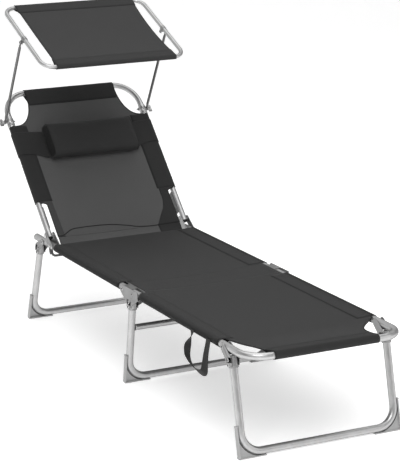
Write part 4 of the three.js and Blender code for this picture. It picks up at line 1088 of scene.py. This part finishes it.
class LOUNGER_OT_backrest(Builder, bpy.types.Operator):
    """Tubes, plugs, bow and collars of the backrest"""

    bl_idname = "lounger.backrest"
    bl_label = "Backrest frame"

    def execute(self, context):
        plug = [(0, 7.6), (0.9, 9.2), (3.4, 9.5)]
        ring = [(0, 10.6), (0.6, 12.0), (2.0, 12.5), (4.0, 12.5), (5.4, 12.0), (6.0, 10.6)]
        for side, sign in SIDES:
            x = sign * RAIL_X
            for name, part, finish, node in (
                ("backrest_tube", tube([(x, -8.3, 0), (x, 440, 0)], [], BACK_R), "frame", "side_tube"),
                ("black_plug", turned(plug, (x, -12, 0), True), "black", "tube_plug"),
                ("bright_collar", turned(ring, (x, 426.3, 0), True), "bright", "collar"),
            ):
                solid(f"{name}_{side}", [part], BACK, finish, "backrest", f"{node}_{side}")
        low, high = 433.6, 464
        corners = [(-RAIL_X, low, 0), (-RAIL_X, high, 0), (-241.5, BOW_S, 0), (241.5, BOW_S, 0),
                   (RAIL_X, high, 0), (RAIL_X, low, 0)]
        left, right = (
            [(Vector((x, s, 0)), Vector((0, head, 0))) for s in (low, 434.4, 441.5, 444.0, 446.5, 458.5)]
            for x, head in ((-RAIL_X, 1), (RAIL_X, -1))
        )
        path = left + bent(corners, [70, 84, 84, 70])[1:-1] + right[::-1]

        def ring_at(i):
            """The bow's lower ends are widened, with a groove half way up."""
            x, s, _ = path[i][0]
            if abs(abs(x) - RAIL_X) > 2.5 or s > 471:
                return circle(BACK_R)
            if s < 433.7:
                return circle(11.2)
            if 443 < s < 445:
                return circle(11.1)
            return circle(12.6 if s < 459 else BACK_R + 3.1 * max(0, 1 - (s - 458.5) / 12))

        solid("backrest_bow", [swept(path, ring_at)], BACK, "frame", "backrest", "bow")
        return {"FINISHED"}


class LOUNGER_OT_seat_cloth(Builder, bpy.types.Operator):
    """Woven cloth of the seat section, with its sleeves and the strips over the two hinges"""

    bl_idname = "lounger.seat_cloth"
    bl_label = "Seat cloth"

    def execute(self, context):
        hem = context.scene.lounger_sizes.seat_hem / MM
        cloth = Sling(RAILS, seat_height, SEAT_RADIUS, "seat_frame", "seat", "seat_hem")
        low = SEAT_PIVOT + HINGE_HALF
        rows = []
        for y in [low, 78, 82.9, 83.1, *spread(95, 565, 46), 574, 577.9, 578.1, *spread(581, CREASE_Y, 7)]:
            half = INSIDE if y < 83 else (RAIL_X if y < 578 else TONGUE)
            rows.append([(c * half, y) for c in spread(-1, 1, COLUMNS)])
        seat = cloth.sheet("seat_sling", rows, "seat_cloth")
        for side, sign in SIDES:
            cloth.side_sleeve(f"seat_sleeve_{side}", sign, 83, 578, hem_and_shade_width(hem, sign), (85, 574, 60))
            cloth.notch(f"seat_notch_binding_{side}", sign, low, 82.5, 6)
        cloth.stitch("seat_stitches")
        middle = (SEAT_PIVOT + FOOT_PIVOT) / 2
        self.strip("hinge_strip_rear", middle, low, ("middle_leg", "seat_frame"), SEAT_PIVOT, "hinge_cloth")
        low = FOOT_PIVOT - HINGE_HALF
        self.strip("hinge_strip_front", low, middle, ("foot_frame", "middle_leg"), FOOT_PIVOT)
        return {"FINISHED"}

    def strip(self, name, low, high, bodies, pivot, stands_for=None):
        """Cloth over one hinge of the seat, and the bindings of its two edges."""
        cloth = Sling(RAILS, seat_height, SEAT_RADIUS, None, "seat", "seat_hem")
        rows = [[(c * INSIDE, y) for c in spread(-1, 1, COLUMNS)] for y in spread(low, high, 24)]
        strip = cloth.sheet(name, rows, stands_for)
        for side, sign in SIDES:
            cloth.notch(f"{name}_binding_{side}", sign, low, high, 24)
        for piece in (strip, *cloth.trims):
            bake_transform(piece)


CORNER = [Vector((234.5, -560.2))]
FOOT_LINES = {
    "left": smooth_line([(174, -720.5), (183, -703), (190.2, -696.4), (202.5, -657.9), (214.9, -630.6),
                         (229.7, -584.9), (233.2, -575.5)]) + CORNER,
    "right": smooth_line([(160, -720.5), (151.9, -704.5), (150.7, -677.2), (158.1, -649.9), (177.8, -624.2),
                          (202.5, -601.7), (222.3, -582.5), (233.2, -575.5)]) + CORNER,
}


class LOUNGER_OT_foot_cloth(Builder, bpy.types.Operator):
    """Woven cloth of the foot section, with its sleeves, cut-out corners and edge binding"""

    bl_idname = "lounger.foot_cloth"
    bl_label = "Foot cloth"

    def execute(self, context):
        hem = context.scene.lounger_sizes.seat_hem / MM
        cloth = Sling(RAILS, seat_height, SEAT_RADIUS, "foot_frame", "seat", "seat_hem")

        def reach(y):
            return -width_along(FOOT_LINES["left"], y), width_along(FOOT_LINES["right"], y)

        rows = []
        for y in [*spread(FOOT_BAR_Y, -561, 34), -560.2, -559.8, *spread(-550, -66, 46),
                  -55.2, -54.8, -45, -38, FOOT_PIVOT - HINGE_HALF]:
            half = RAIL_X if y < -55 else INSIDE
            ends = reach(y) if y < -560 else (-half, half)
            rows.append([(x, y) for x in spread(*ends, COLUMNS)])
        foot = cloth.sheet("foot_sling", rows, "foot_cloth")
        for side, sign in SIDES:
            cloth.side_sleeve(f"foot_sleeve_{side}", sign, -560, -55, hem_and_shade_width(hem, sign), (-558, -57, 60))
            cloth.cord(f"foot_binding_{side}", [(sign * x, y) for x, y in FOOT_LINES[side]], 1.7)
            cloth.notch(f"foot_notch_binding_{side}", sign, -54.5, FOOT_PIVOT - HINGE_HALF, 8)
        cloth.bar_sleeve("foot_bar_sleeve", reach, FOOT_BAR_Y, 30, -1, "bar_hem")
        cloth.seams += [[(x, FOOT_BAR_Y + d) for x in spread(-178, 148, 30)] for d in (28, 24)]
        cloth.stitch("foot_stitches")
        return {"FINISHED"}


SHOULDER_LINE = smooth_line([(237, 426), (222, 427.5), (207, 433.5), (192.5, 446), (180, 465), (171, 488),
                             (165.5, 515), (164, 538), (165.5, BOW_S)])


class LOUNGER_OT_back_cloth(Builder, bpy.types.Operator):
    """Woven cloth of the backrest with its sleeves, shoulder cut-outs, lower seam and the fold to the seat"""

    bl_idname = "lounger.back_cloth"
    bl_label = "Backrest cloth"

    def execute(self, context):
        hem = context.scene.lounger_sizes.back_hem / MM
        cloth = Sling(BACK, back_height, BACK_RADIUS, "backrest", "back", "hem")

        def half_at(s):
            if s < SLEEVE_LOW:
                return tongue_half(s)
            return RAIL_X if s < SLEEVE_TOP else width_along(SHOULDER_LINE, s)

        stations = [BACK_LOW, -12, -8, -4, 2, 8, 16, 26, 38, 52, 66, 80, 92, 100, 108.9,
                    *spread(110, 123.8, 6), 124.2, *spread(132, 420, 34), 425.8, 426.2,
                    *spread(430, BOW_S, 28)]
        rows = [[(c * half_at(s), s) for c in spread(-1, 1, COLUMNS)] for s in stations]
        back = cloth.sheet("back_sling", rows, "back_cloth")
        for side, sign in SIDES:
            cloth.side_sleeve(f"back_sleeve_{side}", sign, SLEEVE_LOW, SLEEVE_TOP, hem + 6 * sign,
                              (126, 424, 40))
            cloth.cord(f"shoulder_binding_{side}", [(sign * x, s) for x, s in SHOULDER_LINE], 1.6)
            low = spread(BACK_LOW + 2, TONGUE_TOP, 12) + spread(111, SLEEVE_LOW, 6)
            cloth.cord(f"tongue_binding_{side}", [(sign * tongue_half(s), s) for s in low], 1.4)
            self.side_hem(cloth, side, sign)
        cloth.bar_sleeve("back_top_sleeve", lambda s: (-half_at(s), half_at(s)), BOW_S, 57, 1)
        cloth.seams += [[(x, BOW_S - d) for x in spread(-162, 162, 30)] for d in (54.5, 50)]
        cloth.stitch("back_stitches")
        seam = smooth_line([(-221, -12), (-203, -10), (-186, -1), (-167, 9), (-137, 13), (-77, 14), (-20, 11),
                            (33, 1), (66, -8), (109, -13), (152, -14), (221, -14)])
        cloth.cord("lower_seam", seam, 1.5, 0.9)
        self.lap()
        return {"FINISHED"}

    def side_hem(self, cloth, side, sign):
        """Hem along one side of the cloth below its sleeve, in darker cloth; the far one widens towards the
        seat, and this widening is painted shade of the cloth hanging down at that corner.
        """
        low = BACK_LOW + 0.5
        wide = [(80, low), (58, 20), (38, 50), (30, 80), (30, 124)] if sign > 0 else [(26, low), (20, 124)]
        rows = []
        for s in spread(low, SLEEVE_LOW, 20):
            across = spread(TONGUE - width_along(wide, s), tongue_half(s), 8)
            rows.append(cloth.over([(sign * x, s) for x in across], LIFT))
        cloth.trim(f"tongue_hem_{side}", rows, "hem" if sign > 0 else "back_hem")

    def lap(self):
        """Cloth that joins seat and backrest across the recline pivots, folded at the seat's rear edge."""
        lap = self.fold("lap_cloth", -TONGUE, COLUMNS, 0, "back")
        # The lap's dark strip on the far side carries that painted shade down to the seat
        trim = self.fold("lap_hem", 143, 10, LIFT, "hem", HEM_THICK)
        for piece in (lap, trim):
            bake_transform(piece)

    def fold(self, name, left, count, lift, finish, thickness=None):
        """Curve from the seat cloth's rear edge to the backrest cloth's lower edge, smooth at both."""
        rows = []
        for b in spread(0, 1, 16):
            a = 1 - b
            shares = (a ** 3, 3 * a * a * b, 3 * a * b * b, b ** 3)
            row = []
            for x in spread(left, TONGUE, count):
                z0 = RAIL_Z + seat_height(x, CREASE_Y) + lift
                y3, z3 = on_back(BACK_LOW, back_height(x, BACK_LOW) + lift)
                ys = (CREASE_Y, CREASE_Y + 5, y3 - 12 * math.cos(RECLINE), y3)
                zs = (z0, z0, z3 - 12 * math.sin(RECLINE), z3)
                row.append((x, *(sum(share * at for share, at in zip(shares, line)) for line in (ys, zs))))
            rows.append(row)
        return cloth_piece(name, rows, GROUND, finish, None, None, thickness)


class LOUNGER_OT_pillow(Builder, bpy.types.Operator):
    """Stuffed pillow with piped ends, and the band that ties it round the backrest"""

    bl_idname = "lounger.pillow"
    bl_label = "Pillow"

    def execute(self, context):
        pillow = self.stuffed()
        self.band()
        return {"FINISHED"}

    def section(self, x, share, grow=1.0, count=56):
        """Ring round the pillow at x: an oval with flat sides, fuller half way along, slanted at one end."""
        high = 50 + 4 * (1 - share * share)
        ring = []
        for k in range(count):
            a = 2 * math.pi * k / count
            c, s = (math.copysign(abs(f) ** (2 / 3.2), f) for f in (math.cos(a), math.sin(a)))
            t = 2 + (high - 2) * (0.5 + 0.5 * s * grow)
            slant = 120 * (t / 50) * (-share - 0.9) if share < -0.9 else 0
            ring.append((x + slant, PILLOW_S + 65 * c * grow, t))
        return ring

    def form(self):
        """Rounded bolster, closed at both ends by slightly bulged panels."""
        closing = (0.25, 0.5, 0.75, 0.9, 0.97)
        rings = [self.section(-160 - 4 * (1 - g), -1, g) for g in closing]
        rings += [self.section(161 * share + 1, share) for share in spread(-1, 1, 56)]
        rings += [self.section(162 + 9 * (1 - g), 1, g) for g in closing[::-1]]
        *sides, low, high = skin(len(rings), len(rings[0]))
        faces = [(a, d, c, b) for a, b, c, d in sides] + [low[::-1], high[::-1]]
        data = bpy.data.meshes.new("pillow_cushion")
        data.from_pydata([p for ring in rings for p in ring], [], faces)
        outward(data)
        return data

    def swollen(self, data):
        """The pillow's mesh, in millimetres, after its cloth was blown up a little."""
        data.transform(Matrix.Scale(MM, 4))
        piece = placed("pillow_blank", data)
        remesh = piece.modifiers.new("even_mesh", "REMESH")
        remesh.mode = "VOXEL"
        remesh.voxel_size = 0.005
        even = baked(piece)
        bpy.data.objects.remove(piece)
        piece = placed("pillow_blank", even)
        cloth = piece.modifiers.new("stuffing", "CLOTH")
        cloth.settings.quality = 5
        cloth.settings.use_pressure = True
        cloth.settings.uniform_pressure_force = 4
        cloth.settings.effector_weights.gravity = 0
        cloth.point_cache.frame_start = 1
        cloth.point_cache.frame_end = 20
        for step in range(1, 21):
            bpy.context.scene.frame_set(step)
        blown = baked(piece)
        for target, new in zip(even.vertices, blown.vertices):
            step = new.co - target.co
            if step.length > PILLOW_BULGE:
                step = step.normalized() * PILLOW_BULGE
            target.co = target.co + step
        bpy.data.objects.remove(piece)
        bpy.context.scene.frame_set(1)
        even.name = "pillow_cushion"
        even.transform(Matrix.Scale(1 / MM, 4))
        return even

    def stuffed(self):
        data = self.form()
        data = self.swollen(data)
        for v in data.vertices:
            v.co.z = max(v.co.z, 0.0) + back_height(min(abs(v.co.x), RAIL_X), v.co.y) + PILLOW_LIFT
        data.transform(BACK)
        piece = settle("pillow_cushion", data, "pillow", "backrest", "pillow", angle=80)
        self.unwrap(piece)
        smooth = piece.modifiers.new("smooth_cover", "SUBSURF")
        smooth.levels = smooth.render_levels = 1
        self.pipes(data)
        return piece

    def unwrap(self, piece):
        """Flat map in metres, along the pillow and round it, with its end panels set apart, where the cover's
        material darkens them as painted shade.
        """
        back = BACK.inverted()
        layer = piece.data.uv_layers.new(name="cloth")
        for loop in piece.data.loops:
            p = back @ piece.data.vertices[loop.vertex_index].co
            panel = p.x > 161 or p.x < -158 + 12 * (p.z - 4) / 50
            layer.data[loop.index].uv = (PANEL_U + p.z * MM if panel else p.x * MM, (p.y + 0.8 * p.z) * MM)

    def pipes(self, data):
        """Piping round both ends of the pillow, laid on its cover."""
        cover = BVHTree.FromPolygons([v.co for v in data.vertices], [p.vertices for p in data.polygons])
        back = BACK.inverted()
        for side, x, share in (("left", -160.5, -1), ("right", 162.5, 1)):
            ring = self.section(x, share, 1.015)
            line = []
            for x, s, t in ring + ring[:1]:
                spot = BACK @ Vector((x, s, t + back_height(min(abs(x), RAIL_X), s) + PILLOW_LIFT))
                line.append(back @ cover.find_nearest(spot)[0])
            piping(f"pillow_piping_{side}", line, 1.6, BACK, "pillow", "backrest")

    def band(self):
        """Dense cloth from the pillow's ends over both tubes and across the back."""
        lift = 2.2
        radius = BACK_RADIUS + lift
        turns = [math.pi * k / 12 for k in range(13)]
        rows = []
        for share in spread(0, 1, 20):
            s = 310 + 90 * share
            inner = []
            for x in spread(145, RAIL_X, 10):
                at = s - (20 - 13 * share) * (1 - eased((x - 150) / 70))
                inner.append((x, at, back_height(x, at) + lift + 5.0 * (1 - eased((x - 145) / 50))))
            row = [(-x, at, z) for x, at, z in inner]
            row += [(-(RAIL_X + radius * math.sin(a)), s, radius * math.cos(a)) for a in turns[1:]]
            row += [(x, s, -radius) for x in spread(12 - RAIL_X, RAIL_X - 12, 40)]
            row += [(RAIL_X + radius * math.sin(a), s, radius * math.cos(a)) for a in turns[:0:-1]]
            rows.append(row + inner[::-1])
        band = cloth_piece("pillow_strap", rows, BACK, "hem", "backrest", "pillow_band")


class LOUNGER_OT_canopy_frame(Builder, bpy.types.Operator):
    """Canopy rods, their shoulder bolts, the bent canopy tube and its clips"""

    bl_idname = "lounger.canopy_frame"
    bl_label = "Canopy frame"

    def execute(self, context):
        edge = context.scene.lounger_sizes.edge
        shoulder = BACK @ Matrix.Translation((0, BOLT_S, BOLT_T))
        for side, sign in SIDES:
            rod = [self.rod(sign)]
            solid(f"canopy_stay_{side}", rod, ARMS, "rod", "canopy_arms", f"canopy_rod_{side}")
            solid(f"wing_bolt_{side}", self.bolt(), shoulder, "plate", "backrest", f"shoulder_bolt_{side}",
                  edge, sign)
            solid(f"canopy_clamp_{side}", self.clip(), CANOPY, "plate", "canopy", f"canopy_clip_{side}",
                  0.0004, sign)
        half = [(CANOPY_HALF, CANOPY_FRONT, 0), (CANOPY_HALF, CANOPY_REAR, 0), (0.3, CANOPY_REAR, 0)]
        corners = half[::-1] + [(-x, y, z) for x, y, z in half]
        frame_tube = tube(corners, [43, 43, 43, 43], CANOPY_R, 0.1, 24)
        solid("canopy_tube", [frame_tube], CANOPY, "frame", "canopy", "canopy_frame")
        return {"FINISHED"}

    def rod(self, sign):
        """Round rod with flattened ends, given by height, half width and half thickness."""
        shape = [(-6.8, 2.2, 1.3), (-6.2, 4.4, 1.6), (-4.0, 6.0, 1.6), (0, 6.8, 1.6), (5, 6.6, 1.6),
                 (10, 5.6, 1.7), (15, 5.0, 2.8), (20, 4.7, 4.0), (24, 4.6, 4.6)]
        shape += [(ROD_LENGTH - w, wide, thick) for w, wide, thick in shape[::-1]]
        path = [(Vector((sign * ROD_X, 0, w)), Vector((0, 0, 1))) for w, _, _ in shape]
        return swept(path, lambda i: [(a * shape[i][2], b * shape[i][1]) for a, b in circle(1.0, 20)])

    def bolt(self):
        """Bolt, its collars and its wing nut."""
        start = ROD_X + 1.6 + 0.3
        parts = [turned(profile, count=24) for profile in (
            [(RAIL_X - 19, 2.5), (start + 10, 2.5)],
            [(RAIL_X - 14.5, 4.8), (RAIL_X - 12.2, 5.0), (RAIL_X - 12.1, 5.0)],
            [(RAIL_X + 12.4, 5.0), (ROD_X - 1.9, 5.0)],
            [(start, 6.5), (start + 1.2, 6.9), (start + 7, 6.2), (start + 9.6, 4.6), (start + 10, 3.8)],
        )]
        wing = [(1.5, -1.6), (11, -2.1), (13.4, -1.4), (13.8, 0), (13.4, 1.4), (11, 2.1), (1.5, 1.6)]
        return parts + [plate([(y * flip, z) for y, z in wing], start + 5, start + 17) for flip in (1, -1)]

    def clip(self):
        """Strip bent over the canopy tube, with the screw below it."""
        inner, outer = CANOPY_R + 0.3, CANOPY_R + 1.9
        low = -CLIP_DROP - 5
        arc = [(math.cos(a), math.sin(a)) for a in spread(0, math.pi, 16)]
        line = [(outer, low)] + [(outer * c, outer * s) for c, s in arc] + [(-outer, low)]
        line += [(-inner, low)] + [(inner * c, inner * s) for c, s in arc[::-1]] + [(inner, low)]
        count = len(line)
        verts = [(CANOPY_HALF + x, y, z) for y in (-7, 7) for x, z in line]
        faces = [(k, (k + 1) % count, count + (k + 1) % count, count + k) for k in range(count)]
        for k in range(count // 2 - 1):
            face = (k, k + 1, count - 2 - k, count - 1 - k)
            faces += [face, tuple(count + i for i in face[::-1])]
        near, far = CANOPY_HALF - outer, ROD_X + 1.9
        return [(verts, faces)] + [turned(profile, (0, 0, -CLIP_DROP), count=20) for profile in (
            [(near - 3, 2.5), (far + 3, 2.5)],
            [(near - 3, 3.6), (near - 2.2, 5.0), (near, 5.0)],
            [(far, 5.0), (far + 2.2, 5.0), (far + 3, 3.6)],
        )]


class LOUNGER_OT_canopy_cloth(Builder, bpy.types.Operator):
    """Canopy sheet, drawn in at its free edges, with a hem round each cross tube"""

    bl_idname = "lounger.canopy_cloth"
    bl_label = "Canopy cloth"

    def execute(self, context):
        hem = context.scene.lounger_sizes.canopy_hem / MM
        cloth = Sling(CANOPY, canopy_height, CANOPY_R + MID, "canopy", "canopy", "canopy_hem")
        left, right = CANOPY_CLOTH, CANOPY_CLOTH + 5

        def ends(y):
            inside = max(1 - ((y - CANOPY_MIDDLE) / (CANOPY_SPAN - hem * 0.8)) ** 2, 0) ** 0.8
            if not CANOPY_FRONT + hem < y < CANOPY_REAR - hem:
                return -left, right
            return -left + 2.5 + 5.5 * inside, right - 2.5 - 3 * inside

        rows = [[(x, y) for x in spread(*ends(y), COLUMNS)] for y in spread(CANOPY_FRONT, CANOPY_REAR, 44)]
        sheet = cloth.sheet("canopy_sheet", rows, "canopy_cloth", 0.0008)
        for word, bar, away in (("front", CANOPY_FRONT, -1), ("rear", CANOPY_REAR, 1)):
            cloth.bar_sleeve(f"canopy_{word}_sleeve", lambda y: (-left, right), bar, hem, away)
            cloth.seams += [[(x, bar - away * (hem - inset)) for x in spread(4 - left, right - 4, 40)]
                            for inset in STITCH_ROWS]
        for side, sign in SIDES:
            free = spread(CANOPY_FRONT + hem + 0.1, CANOPY_REAR - hem - 0.1, 30)
            line = [(ends(y)[sign > 0], y) for y in free]
            cloth.cord(f"canopy_binding_{side}", line, 1.2, 0.1)
        cloth.stitch("canopy_stitches")
        return {"FINISHED"}


class LOUNGER_OT_webbing(Builder, bpy.types.Operator):
    """Carry strap that hangs in a twisted loop from the near sleeve"""

    bl_idname = "lounger.webbing"
    bl_label = "Carry strap"

    def execute(self, context):
        # Place along the rail, height beside it, distance outwards, and turn from lying flat on the rail
        keys = (
            (-411, 12, 0, 0), (-411, -3, 0.35, 0.3), (-407, -28, 1.25, 0.85), (-404, -52, 1.3, 0.8),
            (-407, -70, 1.15, 0.6), (-422, -84, 1.05, 0.5), (-448, -92, 1, 0.45), (-478, -94, 1, 0.4),
            (-500, -85, 1, 0.3), (-506, -61, 1, 0.15), (-508, -30, 0.75, 0.05), (-509, -5, 0.3, 0),
            (-509, 12, 0, 0),
        )
        outside = -(RAIL_X + 12.8 / math.cos(math.pi / 16) + 0.3 + 1)
        line = smooth_line([(outside - 9.5 * out, y, RAIL_Z - 12 + z) for y, z, out, _ in keys], 6)
        turns = smooth_line([(twist, 0) for _, _, _, twist in keys], 6)
        rows = []
        for i, place in enumerate(line):
            before, after = line[max(i - 1, 0)], line[min(i + 1, len(line) - 1)]
            head = (after - before).normalized()
            side = (Vector((-1, 0, 0)) + head * head.x).normalized()
            across = head.cross(side).normalized()
            wide = Matrix.Rotation(turns[i].x * math.pi / 2, 3, head) @ across
            rows.append([place + wide * w for w in spread(-12.5, 12.5, 8)])
        strap = cloth_piece("carry_strap", rows, GROUND, "webbing", "foot_frame", "carry_webbing", 0.0016)
        edge = strap.modifiers.new("soft_edge", "BEVEL")
        edge.width = 0.0004
        edge.segments = 2
        return {"FINISHED"}


OPERATORS = (
    LOUNGER_OT_camera, LOUNGER_OT_stage, LOUNGER_OT_rails, LOUNGER_OT_legs, LOUNGER_OT_brackets,
    LOUNGER_OT_recliner, LOUNGER_OT_backrest, LOUNGER_OT_seat_cloth, LOUNGER_OT_foot_cloth,
    LOUNGER_OT_back_cloth, LOUNGER_OT_pillow, LOUNGER_OT_canopy_frame, LOUNGER_OT_canopy_cloth,
    LOUNGER_OT_webbing,
)


class LOUNGER_PT_panel(bpy.types.Panel):
    """Sizes, colours and the buttons that build each piece"""

    bl_idname = "LOUNGER_PT_panel"
    bl_label = "Sun lounger"
    bl_space_type = "VIEW_3D"
    bl_region_type = "UI"
    bl_category = "Lounger"

    def draw(self, context):
        for group in (context.scene.lounger_sizes, context.scene.lounger_colours):
            column = self.layout.column(align=True)
            for key in group.__annotations__:
                column.prop(group, key)
        for operator in OPERATORS:
            self.layout.operator(operator.bl_idname)


CLASSES = (LoungerSizes, LoungerColours, *OPERATORS, LOUNGER_PT_panel)


def register():
    for cls in CLASSES:
        bpy.utils.register_class(cls)
    bpy.types.Scene.lounger_sizes = bpy.props.PointerProperty(type=LoungerSizes)
    bpy.types.Scene.lounger_colours = bpy.props.PointerProperty(type=LoungerColours)


def unregister():
    del bpy.types.Scene.lounger_colours
    del bpy.types.Scene.lounger_sizes
    for cls in reversed(CLASSES):
        bpy.utils.unregister_class(cls)


def main():
    register()
    for operator in OPERATORS:
        group, name = operator.bl_idname.split(".")
        getattr(getattr(bpy.ops, group), name)()


if __name__ == "__main__":
    main()
